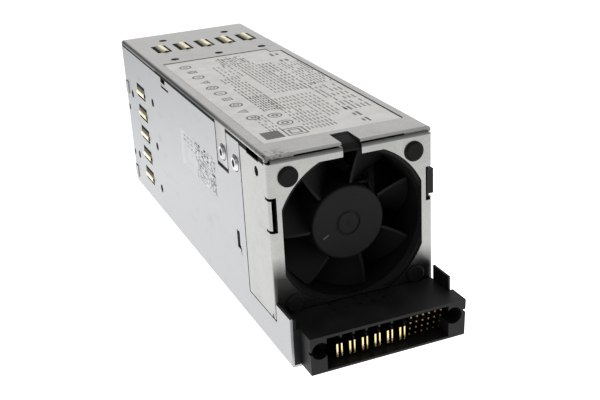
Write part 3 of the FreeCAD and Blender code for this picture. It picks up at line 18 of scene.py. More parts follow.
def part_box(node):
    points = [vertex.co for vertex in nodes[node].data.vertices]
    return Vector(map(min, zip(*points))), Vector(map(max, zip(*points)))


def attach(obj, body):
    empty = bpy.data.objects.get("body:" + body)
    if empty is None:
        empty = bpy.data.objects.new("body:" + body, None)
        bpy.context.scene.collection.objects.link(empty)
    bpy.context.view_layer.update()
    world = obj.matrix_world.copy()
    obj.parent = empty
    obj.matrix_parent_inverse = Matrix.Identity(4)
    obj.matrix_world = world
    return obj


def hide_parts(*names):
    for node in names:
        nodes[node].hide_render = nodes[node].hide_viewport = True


MM = 0.001  # metres in a millimetre
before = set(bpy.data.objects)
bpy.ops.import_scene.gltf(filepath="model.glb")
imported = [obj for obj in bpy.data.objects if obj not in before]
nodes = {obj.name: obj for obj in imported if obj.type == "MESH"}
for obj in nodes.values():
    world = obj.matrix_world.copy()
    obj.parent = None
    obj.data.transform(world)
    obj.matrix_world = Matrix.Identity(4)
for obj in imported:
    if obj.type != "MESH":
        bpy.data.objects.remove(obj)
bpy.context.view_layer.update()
print("CAD nodes:", len(nodes))

# %% [markdown]
# ## Colours and nodes
#
# Paints and plastics are usually written down as sRGB hex values, but Cycles works in linear light, so
# one function converts them. Materials could be drawn by hand in the node editor. Here a small
# function adds a node with its settings and links, so that a material reads as a list of steps and
# comes out the same each time.


# %% Colours
def linear(hex_colour, alpha=1.0):
    """An sRGB hex colour as linear red, green, blue and alpha."""
    channels = [int(hex_colour[i : i + 2], 16) / 255 for i in (1, 3, 5)]
    return [c / 12.92 if c <= 0.04045 else ((c + 0.055) / 1.055) ** 2.4 for c in channels] + [alpha]


print("mid grey in linear light:", round(linear("#808080")[0], 3))


# %% Nodes
def feed(tree, node, **inputs):
    """Sets a node's inputs, by name or number as in From_Min or _1. An input takes a value, a
    socket, or a node, which stands for its first live output."""
    for name, value in inputs.items():
        if name[0] == "_":
            socket = node.inputs[int(name[1:])]
        else:
            shown = name.replace("_", " ")
            socket = next(s for s in node.inputs if s.enabled and s.name == shown)
        if isinstance(value, bpy.types.Node):
            value = next(output for output in value.outputs if output.enabled)
        if isinstance(value, bpy.types.NodeSocket):
            tree.links.new(value, socket)
        else:
            socket.default_value = value


def add_node(tree, kind, settings=None, **inputs):
    """Adds a node with its settings and its inputs."""
    node = tree.nodes.new(kind)
    for name, value in (settings or {}).items():
        setattr(node, name, value)
    feed(tree, node, **inputs)
    return node


# %% A material to start from
def new_material(name):
    """An empty material with its tree, its shader and the object's own coordinates."""
    material = bpy.data.materials.new(name)
    material.use_nodes = True
    tree = material.node_tree
    tree.nodes.clear()
    shader = add_node(tree, "ShaderNodeBsdfPrincipled")
    add_node(tree, "ShaderNodeOutputMaterial", Surface=shader)
    return material, tree, shader, add_node(tree, "ShaderNodeTexCoord").outputs["Object"]


def tint(tree, value, low, high, dark, light):
    """A colour that goes from dark to light as a value goes from low to high."""
    share = add_node(tree, "ShaderNodeMapRange", Value=value, From_Min=low, From_Max=high)
    return add_node(
        tree, "ShaderNodeMix", {"data_type": "RGBA"}, Factor=share, A=linear(dark), B=linear(light)
    )


# %% [markdown]
# ## Galvanised sheet
#
# The case is steel sheet, hot dipped in zinc before it was cut and bent. Zinc freezes into flat
# crystals a few millimetres across, called spangle, and rolling then dulls them to a faint mottle. A
# plain grey metal would show none of that, and a scanned image would repeat over so long a wall. So
# Voronoi cells give the crystals and two sizes of noise the speckle and the clouds. The same mottle
# drives the colour and the roughness, because both come from the same crystals.

# %% A function for galvanised sheet
SPANGLE = 2.4 * MM  # one crystal
SPECKLE = 0.55 * MM  # coarser than on the real skin, so that it shows
CLOUD = 16.0 * MM  # patches left by the dip
SCUFF = 0.9 * MM  # width of the marks from sliding in and out


def galvanised_sheet(name, light, dark, roughness, contrast=1.0):
    material, tree, shader, place = new_material(name)
    crystals = add_node(
        tree,
        "ShaderNodeTexVoronoi",
        {"feature": "SMOOTH_F1"},
        Vector=place,
        Scale=1 / SPANGLE,
        Smoothness=0.7,
    )
    spangle = add_node(tree, "ShaderNodeSeparateColor", Color=crystals.outputs["Color"])
    speckle = add_node(tree, "ShaderNodeTexNoise", Vector=place, Scale=1 / SPECKLE, Detail=5.0)
    cloud = add_node(tree, "ShaderNodeTexNoise", Vector=place, Scale=1 / CLOUD, Detail=4.0)
    weigh = {"operation": "MULTIPLY_ADD"}
    mottle = add_node(tree, "ShaderNodeMath", weigh, _0=spangle, _1=0.16, _2=speckle)
    mottle = add_node(tree, "ShaderNodeMath", weigh, _0=cloud, _1=0.5, _2=mottle)
    middle, spread = 0.83, 0.34 / contrast
    colour = tint(tree, mottle, middle - spread, middle + spread, dark, light)
    dull = add_node(
        tree,
        "ShaderNodeMapRange",
        Value=mottle,
        From_Min=0.5,
        From_Max=1.2,
        To_Min=roughness - 0.05,
        To_Max=roughness + 0.07,
    )
    slid = add_node(tree, "ShaderNodeMapping", Vector=place, Scale=(1.0, 1 / 14, 1 / 5))
    scuffs = add_node(tree, "ShaderNodeTexNoise", Vector=slid, Scale=1 / SCUFF, Detail=2.0)
    worn = add_node(
        tree, "ShaderNodeMapRange", Value=scuffs, From_Min=0.62, From_Max=0.78, To_Max=0.07
    )
    rough = add_node(tree, "ShaderNodeMath", _0=worn, _1=dull)
    bump = add_node(tree, "ShaderNodeBump", Height=speckle, Strength=0.3, Distance=0.02 * MM)
    feed(tree, shader, Base_Color=colour, Roughness=rough, Metallic=1.0, Normal=bump)
    return material


# %% Three batches of galvanised sheet
# cold grey and even: the tray is one large sheet
case_steel = galvanised_sheet("galvanised_case", "#A9AAAC", "#959799", 0.36)
# warmer and more mottled: the lid
cover_steel = galvanised_sheet("galvanised_cover", "#CAC9C7", "#9F9E9C", 0.34)
# slightly green and shinier: the fan's bracket
bracket_steel = galvanised_sheet("galvanised_bracket", "#AEAFAC", "#8B8C89", 0.33, 0.85)
print("sheets:", case_steel.name, cover_steel.name, bracket_steel.name)

# %% [markdown]
# ## Moulded plastic
#
# The fan, the connector and the handle are glass-filled thermoplastic, moulded black. The mould is
# spark eroded, which leaves a fine even grain that scatters highlights. A smooth black shader would
# look like wet paint, and real displacement would cost far too many faces for so fine a grain. So a
# small bump carries it. Plastic is no metal: it keeps the IOR of 1.5 and gets its depth from that grain.

# %% A function for moulded plastic
MOULD_GRAIN = 0.35  # mm, coarser than the real grain, so that it shows
FLOW = 9.0 * MM  # patches where the melt cooled differently


def moulded_plastic(name, light, dark, roughness, grain=MOULD_GRAIN, shine=0.25):
    material, tree, shader, place = new_material(name)
    fine = add_node(tree, "ShaderNodeTexNoise", Vector=place, Scale=1 / (grain * MM), Detail=3.0)
    wide = add_node(tree, "ShaderNodeTexNoise", Vector=place, Scale=1 / FLOW, Detail=2.0)
    shade = add_node(tree, "ShaderNodeMath", {"operation": "MULTIPLY"}, _0=fine, _1=wide)
    rough = add_node(
        tree,
        "ShaderNodeMapRange",
        Value=wide,
        From_Min=0.3,
        From_Max=0.7,
        To_Min=roughness - 0.05,
        To_Max=roughness + 0.07,
    )
    bump = add_node(tree, "ShaderNodeBump", Height=fine, Strength=0.35, Distance=0.03 * MM)
    colour = tint(tree, shade, 0.1, 0.45, dark, light)
    feed(tree, shader, Base_Color=colour, Roughness=rough, Normal=bump)
    shader.inputs["Specular IOR Level"].default_value = shine
    return material


# %% Plastics on the outside
# glass-filled polyester: dark grey rather than black, because fibres lie just under the skin
connector_black = moulded_plastic("glass_filled_black", "#1D1D1C", "#0F0F0E", 0.5, shine=0.19)
# the fan's frame and blades: deep black and nearly dull
fan_black = moulded_plastic("fan_black", "#151515", "#0A0A0A", 0.55, shine=0.15)
hub_black = moulded_plastic("impeller_black", "#1B1B1B", "#131313", 0.6, shine=0.13)
# nylon rivets and guard: the dullest
rivet_black = moulded_plastic("rivet_black", "#141414", "#0C0C0C", 0.6, shine=0.12)
# ABS in the colour that marks a part to be touched while the server runs
release_plastic = moulded_plastic("release_terracotta", "#B5502C", "#96401F", 0.5)
print("plastics:", connector_black.name, fan_black.name, hub_black.name, release_plastic.name)

# %% [markdown]
# ## Foil, spring stock, contacts and small metals
#
# The label is a satin foil, the spring fingers are beryllium copper and the contacts are gold over
# nickel. All are rolled or drawn, which leaves fine lines along one direction. Anisotropy would give
# the same streak, but the lines are wanted in the roughness too, so noise is stretched along the
# rolling direction. One function serves them all, with a colour, a roughness and a line width.

# %% A function for rolled metal
TARNISH = 6.0 * MM  # clouds in a metal's colour
LINES = 0.3 * MM  # rolling lines, coarser than the real ones, so that they show


def rolled_metal(name, light, dark, roughness, metallic=1.0):
    material, tree, shader, place = new_material(name)
    rolled = add_node(tree, "ShaderNodeMapping", Vector=place, Scale=(1.0, 1 / 6, 1.0))
    lines = add_node(tree, "ShaderNodeTexNoise", Vector=rolled, Scale=1 / LINES, Detail=3.0)
    cloud = add_node(tree, "ShaderNodeTexNoise", Vector=place, Scale=1 / TARNISH, Detail=2.0)
    rough = add_node(
        tree,
        "ShaderNodeMapRange",
        Value=lines,
        From_Min=0.3,
        From_Max=0.7,
        To_Min=roughness - 0.05,
        To_Max=roughness + 0.08,
    )
    bump = add_node(tree, "ShaderNodeBump", Height=lines, Strength=0.2, Distance=0.01 * MM)
    colour = tint(tree, cloud, 0.3, 0.7, dark, light)
    feed(tree, shader, Base_Color=colour, Roughness=rough, Metallic=metallic, Normal=bump)
    return material


# %% Foils and metals
# satin foil under a matt lacquer: silvery, but it never mirrors
label_foil = rolled_metal("satin_foil", "#F0EEEA", "#E5E3DF", 0.5, metallic=0.4)
sticker_film = rolled_metal("sticker_film", "#CDCED0", "#BFC0C3", 0.5, metallic=0.4)
# beryllium copper: a pale gold that flashes where it curves
spring_stock = rolled_metal("beryllium_copper", "#FBF3D4", "#D9CBA0", 0.25)
# gold over nickel: warm and smooth, so the tips sparkle
gold_contact = rolled_metal("gold_over_nickel", "#FFE9B0", "#F0D592", 0.25)
# a thinner gold over bronze: dim tan points in a dark mouth
gilt_pin = rolled_metal("thin_gold_over_bronze", "#A8915C", "#7E6A3E", 0.4, metallic=0.5)
# zinc plate, ground steel and extruded aluminium: near greys that differ in how sharply they mirror
zinc_screw = rolled_metal("zinc_plated", "#CFD0D2", "#B5B6B8", 0.35)
ground_steel = rolled_metal("ground_steel", "#C9C9CB", "#B0B0B2", 0.25)
extruded_aluminium = rolled_metal("extruded_aluminium", "#D5D7DA", "#BFC1C4", 0.4)
# copper wire under enamel, and stacked laminations
enamelled_copper = rolled_metal("enamelled_copper", "#B8632F", "#8F4519", 0.35)
lamination = rolled_metal("laminations", "#6A6A6C", "#4A4A4C", 0.5)
print("metals:", label_foil.name, spring_stock.name, gold_contact.name, gilt_pin.name)

# %% [markdown]
# ## Board, ferrite, sleeves and lens
#
# Behind the vents there are a circuit board, ferrite cores and capacitors in shrunk sleeves. They
# could have finishes of their own, but they are only glimpsed through 5 mm holes. So they reuse the
# moulded finish, with their own colour, roughness and grain.

# %% Finishes of the inner parts
# solder mask: green lacquer over copper, half glossy
solder_mask = moulded_plastic("solder_mask", "#1F5A34", "#174628", 0.4, 0.6)
# sintered ferrite: dull charcoal
ferrite = moulded_plastic("ferrite", "#3B3B3E", "#2C2C2F", 0.7, 0.5)
# shrunk sleeve and insulating film: smooth, so the grain is wide and shallow
sleeve = moulded_plastic("shrunk_sleeve", "#23242C", "#17181F", 0.3, 1.5)
film = moulded_plastic("insulating_film", "#121212", "#0B0B0B", 0.45, 2.0)
# tinted acrylic of the lamp: the smoothest of all
lens = moulded_plastic("lamp_lens", "#8FE08F", "#6CCB6C", 0.2, 2.0)
print("inner finishes:", solder_mask.name, ferrite.name, sleeve.name, film.name, lens.name)

# %% [markdown]
# ## Who wears what
#
# On the real object each stamping, moulding and contact has one finish all over. A CAD piece keeps
# its shape and only gets a material in its slot, so one table from finish to pieces is enough. The
# last line of the cell looks for pieces that were forgotten.


# %% Give every piece its finish
def named(*starts):
    """The CAD nodes whose names begin with one of the words given."""
    return [name for name in nodes if name.startswith(starts)]


finishes = {
    case_steel: ["chassis_tray", "rear_panel", "latch_bracket"],
    cover_steel: ["top_cover"],
    bracket_steel: ["fan_bracket"],
    label_foil: ["rating_label"],
    sticker_film: ["side_sticker"],
    spring_stock: ["emi_fingers_top", "emi_fingers_left"],
    zinc_screw: ["board_screws", "inlet_prongs"]
    + named("cover_screw", "bracket_screw", "handle_screw"),
    connector_black: ["connector_housing", "inlet_housing", "handle", "keying_tab"],
    fan_black: ["fan_frame"],
    hub_black: ["fan_impeller"],
    rivet_black: ["wire_guard"] + named("fan_rivet"),
    gold_contact: ["power_blades"],
    gilt_pin: ["signal_pins", "board_standoffs"],
    lamination: ["stator_core"],
    enamelled_copper: ["pfc_choke"] + named("stator_coil"),
    solder_mask: ["fan_circuit_board", "main_board"],
    ground_steel: ["fan_shaft", "latch_pin", "latch_spring"] + named("fan_bearing"),
    ferrite: ["rotor_magnet", "transformer_core", "emi_choke"],
    extruded_aluminium: ["heatsink_primary", "heatsink_secondary"],
    film: ["insulating_liner", "transformer_winding"],
    sleeve: ["output_capacitors"] + named("bulk_capacitor"),
    release_plastic: ["latch_lever"],
    lens: ["status_lens"],
}
for finish, names in finishes.items():
    for name in names:
        nodes[name].data.materials.clear()
        nodes[name].data.materials.append(finish)
bare = set(nodes) - {name for names in finishes.values() for name in names}
print("nodes without a finish:", bare)

# %% [markdown]
# ## Painted shade, painted reflections and wear that follow the shape
#
# Some finishes change over one piece: contacts are bright only at their tips, slopes, bends and
# recesses carry painted shade, the bracket carries painted reflections, and a knocked corner is
# speckled. Painted vertex colours would need a finer mesh than the CAD gives. A mask worked out from
# the object's coordinates needs none, and stays with the piece when it moves. Each mask below blends
# one more colour over a finish that is already there.


# %% Lay a colour over a finish
def lay_over(material, mask, hex_colour):
    """Blends a colour over a finish where a mask is 1."""
    tree = material.node_tree
    shader = tree.nodes["Principled BSDF"]
    under = shader.inputs["Base Color"].links[0].from_socket
    over = add_node(
        tree, "ShaderNodeMix", {"data_type": "RGBA"}, Factor=mask, A=under, B=linear(hex_colour)
    )
    feed(tree, shader, Base_Color=over)


def coordinates(material):
    """A finish's tree, its place and its place split into X, Y and Z."""
    tree = material.node_tree
    place = tree.nodes["Texture Coordinate"].outputs["Object"]
    return tree, place, add_node(tree, "ShaderNodeSeparateXYZ", Vector=place).outputs


MULTIPLY, SUBTRACT, ABSOLUTE = ({"operation": name} for name in ("MULTIPLY", "SUBTRACT", "ABSOLUTE"))
DISTANCE, DOT_PRODUCT = {"operation": "DISTANCE"}, {"operation": "DOT_PRODUCT"}
print("finishes that can be laid over:", len(finishes))

# %% [markdown]
# ## Contacts
#
# The power blades stand in pairs. Their coined tips are bright only along the middle, and behind the
# tips and on their flanks the blades are painted dark as shade in the mouth. Narrower solids would be
# too thin for the real blades, so the brightness is masked instead: first by the distance behind the
# tip, then by the distance from the middle line of each blade, which repeats at the pitch of the pairs.

# %% The blades' bright tips, with painted shade behind them
BLADE_PITCH = 5.12 * MM  # from pair to pair
STRIPES = ((0.475 * MM, 0.3 * MM), (2.26 * MM, 0.22 * MM))  # middle and half width, in each pair
blades_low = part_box("power_blades")[0]
tree, place, spot = coordinates(gold_contact)
behind = add_node(
    tree,
    "ShaderNodeMapRange",
    Value=spot["Y"],
    From_Min=blades_low[1] + 0.02 * MM,
    From_Max=blades_low[1] + 0.3 * MM,
)
# painted shade: the blades behind their tips, dark in the mouth
lay_over(gold_contact, behind, "#120E07")
across = add_node(tree, "ShaderNodeMath", SUBTRACT, _0=spot["X"], _1=blades_low[0])
in_pair = add_node(
    tree, "ShaderNodeMath", {"operation": "WRAP"}, _0=across, _1=BLADE_PITCH - 1.0 * MM, _2=-1.0 * MM
)
off_stripes = []
for middle, half_width in STRIPES:
    away = add_node(tree, "ShaderNodeMath", SUBTRACT, _0=in_pair, _1=middle)
    away = add_node(tree, "ShaderNodeMath", ABSOLUTE, _0=away)
    off_stripes.append(add_node(tree, "ShaderNodeMath", SUBTRACT, _0=away, _1=half_width))
nearest = add_node(
    tree, "ShaderNodeMath", {"operation": "MINIMUM"}, _0=off_stripes[0], _1=off_stripes[1]
)
flank_shade = add_node(tree, "ShaderNodeMapRange", Value=nearest, From_Max=0.08 * MM)
# painted shade on the blades' flanks
lay_over(gold_contact, flank_shade, "#1A140A")
print("blade tips at y", round(blades_low[1] / MM, 1), "mm")

# %% [markdown]
# ## Signal pins
#
# The pins show only their tips, and each row down stands half a millimetre further back. Behind the
# tips the pins are painted dark as shade in the mouth. A mask along Y alone would blacken the lower
# rows, so it runs along a slant that follows the rows.

# %% The pins' tips
PIN_STEP, PIN_PITCH = 0.5, 2.54  # mm: how far each row down stands back, and from row to row
PIN_HALF = 0.3 * MM  # half the width of a pin
pins_low, pins_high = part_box("signal_pins")
tree, place, spot = coordinates(gilt_pin)
below = add_node(tree, "ShaderNodeMath", SUBTRACT, _0=spot["Z"], _1=pins_high[2] - PIN_HALF)
lean = add_node(tree, "ShaderNodeMath", MULTIPLY, _0=below, _1=PIN_STEP / PIN_PITCH)
behind = add_node(tree, "ShaderNodeMath", _0=spot["Y"], _1=lean)
dull = add_node(
    tree,
    "ShaderNodeMapRange",
    Value=behind,
    From_Min=pins_low[1] + 0.15 * MM,
    From_Max=pins_low[1] + 0.7 * MM,
)
# painted shade: the pins behind their tips, dark in the mouth
lay_over(gilt_pin, dull, "#14110B")
print("pin tips at y", round(pins_low[1] / MM, 1), "mm")

# %% [markdown]
# ## Spring fingers
#
# The slope of a finger that faces up and outwards is painted darker, as shade, and the rest stays
# bright. That depends on which way the metal faces, so the mask is the angle between the normal and
# that slope.

# %% Painted shade on the spring fingers
SLOPE = (-0.707, 0.0, 0.707)  # up and to the left
tree = spring_stock.node_tree
normal = tree.nodes["Texture Coordinate"].outputs["Normal"]
facing = add_node(tree, "ShaderNodeVectorMath", DOT_PRODUCT, _0=normal, _1=SLOPE)
upper_slope_shade = add_node(tree, "ShaderNodeMapRange", Value=facing, From_Min=0.86, From_Max=1.0)
# painted shade on the slope that faces up and to the left
lay_over(spring_stock, upper_slope_shade, "#B9B392")
print("tarnish faces", SLOPE)

# %% [markdown]
# ## The impeller's hub
#
# The blades sit deep in the fan's duct, so beyond the hub they are painted darker as shade, and the
# hub stays greyer than they are. A shallow groove runs round its middle and a dimple sits over the
# axle, and both are painted dark as shade too. All are round, so the masks are made from the distance
# to the axle, and they turn with the fan without changing.

# %% Rings of painted shade on the hub
HUB_RADIUS, GROOVE_RADIUS = 14.7 * MM, 4.6 * MM
low, high = (Vector(corner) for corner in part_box("fan_impeller"))
axle = (low + high) / 2
tree, place, spot = coordinates(hub_black)
flat = add_node(tree, "ShaderNodeVectorMath", MULTIPLY, _0=place, _1=(1.0, 0.0, 1.0))
reach = add_node(tree, "ShaderNodeVectorMath", DISTANCE, _0=flat, _1=(axle.x, 0.0, axle.z))
off_groove = add_node(tree, "ShaderNodeMath", SUBTRACT, _0=reach, _1=GROOVE_RADIUS)
off_groove = add_node(tree, "ShaderNodeMath", ABSOLUTE, _0=off_groove)
# each ring is painted shade: the blades in the duct, the groove and the dimple
rings = [
    # distance, where the mask starts and ends, its values there, and the colour laid over
    (reach, HUB_RADIUS, HUB_RADIUS + 0.4 * MM, 0.0, 0.75, "#0A0A0A"),  # the blades
    (off_groove, 0.35 * MM, 0.9 * MM, 0.75, 0.0, "#050505"),  # the groove
    (reach, 0.5 * MM, 1.2 * MM, 0.6, 0.0, "#050505"),  # the dimple over the axle
]
for distance, start, end, low_value, high_value, colour in rings:
    mask = add_node(
        tree,
        "ShaderNodeMapRange",
        Value=distance,
        From_Min=start,
        From_Max=end,
        To_Min=low_value,
        To_Max=high_value,
    )
    lay_over(hub_black, mask, colour)
print("axle at", [round(c / MM, 1) for c in axle])

# %% [markdown]
# ## Painted reflections on the fan's bracket
#
# The bracket's face is painted dark low down, a little lower on its right, as a painted reflection of
# the black connector below it. Its top edge is bent back, and a painted reflection of the dim inside of
# the gap under the lid darkens it. Both stay on the front face, so one mask by depth limits them.

# %% The bracket's painted reflections
LEAN_TO_RIGHT = 0.14  # how much the band sinks for each unit to the right
tree, place, spot = coordinates(bracket_steel)
lean = add_node(tree, "ShaderNodeMath", MULTIPLY, _0=spot["X"], _1=LEAN_TO_RIGHT)
slant = add_node(tree, "ShaderNodeMath", _0=spot["Z"], _1=lean)
in_front = add_node(
    tree,
    "ShaderNodeMapRange",
    Value=spot["Y"],
    From_Min=0.4 * MM,
    From_Max=1.1 * MM,
    To_Min=1.0,
    To_Max=0.0,
)
bands = [
    # height, where the band starts and is full, its strength, and its colour
    (slant, 34.0 * MM, 25.0 * MM, 0.88, "#0E0E0E"),  # painted reflection of the black connector
    (spot["Z"], 73.5 * MM, 73.8 * MM, 0.95, "#5E5E5C"),  # painted reflection in the bend at the top
]
for height, start, full, strength, colour in bands:
    band = add_node(
        tree, "ShaderNodeMapRange", Value=height, From_Min=start, From_Max=full, To_Max=strength
    )
    mask = add_node(tree, "ShaderNodeMath", MULTIPLY, _0=band, _1=in_front)
    lay_over(bracket_steel, mask, colour)
print("bands on the bracket:", len(bands))

# %% [markdown]
# ## Edges of the lid
#
# The lid's cut front edge is dull, its left bend is painted dark as shade behind the label's front,
# more so towards the back, and its front left corner was knocked, which left specks. Edge and bend are
# ramps along one axis. The specks are noise that shows only near the corner.

# %% The lid's dull front edge and the painted shade on its left bend
cover_low, cover_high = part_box("top_cover")
tree, place, spot = coordinates(cover_steel)
ramps = {}
for name, axis, start, end, low_value, high_value in (
    ("front edge", "Y", cover_low[1] + 0.25 * MM, cover_low[1] + 0.6 * MM, 0.9, 0.0),
    ("left bend", "X", -31.0 * MM, -32.4 * MM, 0.0, 0.75),
    ("far back", "Y", 35.0 * MM, 70.0 * MM, 0.0, 1.0),
):
    ramps[name] = add_node(
        tree,
        "ShaderNodeMapRange",
        Value=spot[axis],
        From_Min=start,
        From_Max=end,
        To_Min=low_value,
        To_Max=high_value,
    )
lay_over(cover_steel, ramps["front edge"], "#747472")
painted_bend_shade = add_node(
    tree, "ShaderNodeMath", MULTIPLY, _0=ramps["left bend"], _1=ramps["far back"]
)
# painted shade on the left bend, darker towards the back
lay_over(cover_steel, painted_bend_shade, "#1C1C1C")
print("ramps on the lid:", list(ramps))

# %% Specks at the lid's corner
KNOCK, KNOCK_FADE = 4.0 * MM, 8.0 * MM  # full and fading reach of the knock
CHIP = 1.1 * MM  # one chip in the zinc
corner = (cover_low[0] + KNOCK, cover_low[1], cover_high[2])
off_corner = add_node(tree, "ShaderNodeVectorMath", DISTANCE, _0=place, _1=corner)
near_corner = add_node(
    tree,
    "ShaderNodeMapRange",
    Value=off_corner,
    From_Min=KNOCK,
    From_Max=KNOCK_FADE,
    To_Min=1.0,
    To_Max=0.0,
)
chips = add_node(tree, "ShaderNodeTexNoise", Vector=place, Scale=1 / CHIP, Detail=4.0)
specks = add_node(
    tree, "ShaderNodeMapRange", Value=chips, From_Min=0.46, From_Max=0.6, To_Max=0.8
)
mask = add_node(tree, "ShaderNodeMath", MULTIPLY, _0=near_corner, _1=specks)
lay_over(cover_steel, mask, "#4C4C4B")
print("knock at", [round(c / MM, 1) for c in corner])

# %% [markdown]
# ## Ink
#
# Labels are printed in grey ink that wears thin. It could be a colour in the label's own material,
# but then it would need an image or a hard mask. Ink as a thin piece of its own stays sharp, and only
# needs a dull dark material with a little fading.


# %% Dull finishes for ink, painted shade and a pale mark
def dull_coat(name, light, dark, size_mm, low, roughness=0.6):
    """A matt coat whose colour drifts between two greys."""
    material, tree, shader, place = new_material(name)
    drift = add_node(tree, "ShaderNodeTexNoise", Vector=place, Scale=1 / (size_mm * MM), Detail=3.0)
    feed(tree, shader, Base_Color=tint(tree, drift, low, 1 - low, dark, light), Roughness=roughness)
    return material


# thermal print in black, and laser marks on a film: grey, worn thin in places
ink = dull_coat("grey_ink", "#8F8D89", "#4E4D4B", 0.4, 0.3)
faint_ink = dull_coat("faint_ink", "#B4B5B8", "#77787B", 0.6, 0.35)
# painted shade: nearly black, and it reflects almost nothing
painted_shade_black = dull_coat("painted_shade_black", "#1C1C1B", "#0B0B0B", 1.5, 0.3, 0.8)
painted_shade_black.node_tree.nodes["Principled BSDF"].inputs["Specular IOR Level"].default_value = 0.15
# a pale grey mark on the plastic
pale_mark_plastic = dull_coat("pale_mark_plastic", "#444443", "#202020", 0.5, 0.4, 0.5)
print("coats:", ink.name, faint_ink.name, painted_shade_black.name, pale_mark_plastic.name)

# %% [markdown]
# ## Print on the labels
#
# A rating label is covered in small print. At this distance it reads as broken lines, so each block
# is a field of short bars with no lettering in it. Bars could be placed by a Python loop, but rows of
# words are a pattern that repeats, so one Geometry Nodes tree makes them: a grid of points, some left
# out, with a bar of random length on each. Its sizes and seed are named inputs, and every block on
# both labels comes from it.

# %% The tree's inputs
INK = 0.012 * MM  # thickness of the ink
INPUTS = {
    "Length": "Float",
    "Height": "Float",
    "Words": "Int",
    "Lines": "Int",
    "Bar": "Float",
    "Fill": "Float",
    "Seed": "Int",
    "Ink": "Material",
}
print_tree = bpy.data.node_groups.new("printed_block", "GeometryNodeTree")
for name, kind in INPUTS.items():
    print_tree.interface.new_socket(name, in_out="INPUT", socket_type=f"NodeSocket{kind}")
print_tree.interface.new_socket("Geometry", in_out="OUTPUT", socket_type="NodeSocketGeometry")
given = add_node(print_tree, "NodeGroupInput").outputs
print("inputs:", list(INPUTS))

# %% The points: rows of words, with gaps
grid = add_node(
    print_tree,
    "GeometryNodeMeshGrid",
    Size_X=given["Length"],
    Size_Y=given["Height"],
    Vertices_X=given["Words"],
    Vertices_Y=given["Lines"],
)
gaps = add_node(print_tree, "ShaderNodeMath", SUBTRACT, _0=1.0, _1=given["Fill"])
blank = add_node(
    print_tree,
    "FunctionNodeRandomValue",
    {"data_type": "BOOLEAN"},
    Probability=gaps,
    Seed=given["Seed"],
)
kept = add_node(print_tree, "GeometryNodeDeleteGeometry", Geometry=grid, Selection=blank)
print("nodes so far:", len(print_tree.nodes))

# %% The bars: words of random length
pitch = add_node(
    print_tree, "ShaderNodeMath", {"operation": "DIVIDE"}, _0=given["Length"], _1=given["Words"]
)
share = add_node(print_tree, "FunctionNodeRandomValue", Min=0.45, Max=1.1, Seed=given["Seed"])
length = add_node(print_tree, "ShaderNodeMath", MULTIPLY, _0=pitch, _1=share)
size = add_node(print_tree, "ShaderNodeCombineXYZ", X=length, Y=given["Bar"], Z=INK)
bar = add_node(print_tree, "GeometryNodeMeshCube", Size=(1.0, 1.0, 1.0))
words = add_node(
    print_tree, "GeometryNodeInstanceOnPoints", Points=kept, Instance=bar, Scale=size
)
real = add_node(print_tree, "GeometryNodeRealizeInstances", Geometry=words)
inked = add_node(print_tree, "GeometryNodeSetMaterial", Geometry=real, Material=given["Ink"])
add_node(print_tree, "NodeGroupOutput", Geometry=inked)
print("nodes in the tree:", len(print_tree.nodes))


# %% One block of print as a mesh
def printed_block(centre, turn, seed, **sizes):
    """One block's plain mesh, turned in its plane and moved to its centre."""
    holder = bpy.data.objects.new("block", bpy.data.meshes.new("block"))
    bpy.context.scene.collection.objects.link(holder)
    modifier = holder.modifiers.new("print", "NODES")
    modifier.node_group = print_tree
    values = {"Ink": ink, "Seed": seed, **sizes}
    for item in print_tree.interface.items_tree:
        if item.in_out == "INPUT":
            modifier[item.identifier] = values[item.name]
    seen = holder.evaluated_get(bpy.context.evaluated_depsgraph_get())
    mesh = bpy.data.meshes.new_from_object(seen)
    mesh.transform(Matrix.Translation(centre) @ turn)
    bpy.data.objects.remove(holder)
    return mesh


def block_sizes(length, height, words, lines, bar, fill):
    """A table row's sizes, from millimetres, under the names of the tree's inputs."""
    sizes = {"Length": length * MM, "Height": height * MM, "Bar": bar * MM}
    return {**sizes, "Words": words, "Lines": lines, "Fill": fill}


print("a block's sizes:", list(block_sizes(1.0, 1.0, 1, 1, 1.0, 1.0)))

# %% [markdown]
# ## Outlines, strips and pieces
#
# Besides bars, the labels carry outlines, and the case carries strips and plates along its gaps. A
# ring with any number of sides gives circles, squares and triangles, and a block between two corners
# gives the rest. Both are a few lines of mesh code, and closed, so that they export as sound solids.


# %% A ring and a slab
def ring_mesh(centre, radius, width, sides):
    """A flat outline with a number of sides, as thick as the ink."""
    rim = bmesh.new()
    loops = []
    turns = [math.tau * (i + 0.5) / sides for i in range(sides)]
    for level in (-INK / 2, INK / 2):
        for reach in (radius, radius - width):
            points = [centre + Vector((math.cos(t) * reach, math.sin(t) * reach, level)) for t in turns]
            loops.append([rim.verts.new(point) for point in points])
    outer_low, inner_low, outer_high, inner_high = loops
    for first, second in (
        (outer_high, inner_high),
        (inner_low, outer_low),
        (outer_low, outer_high),
        (inner_high, inner_low),
    ):
        for i in range(sides):
            j = (i + 1) % sides
            rim.faces.new((first[i], first[j], second[j], second[i]))
    mesh = bpy.data.meshes.new("ring")
    rim.to_mesh(mesh)
    rim.free()
    return mesh


def slab_mesh(low, high):
    """A thin block between two corners."""
    block = bmesh.new()
    bmesh.ops.create_cube(block, size=1.0)
    low, high = Vector(low), Vector(high)
    for corner in block.verts:
        corner.co = (low + high) / 2 + corner.co * (high - low)
    mesh = bpy.data.meshes.new("slab")
    block.to_mesh(mesh)
    block.free()
    return mesh


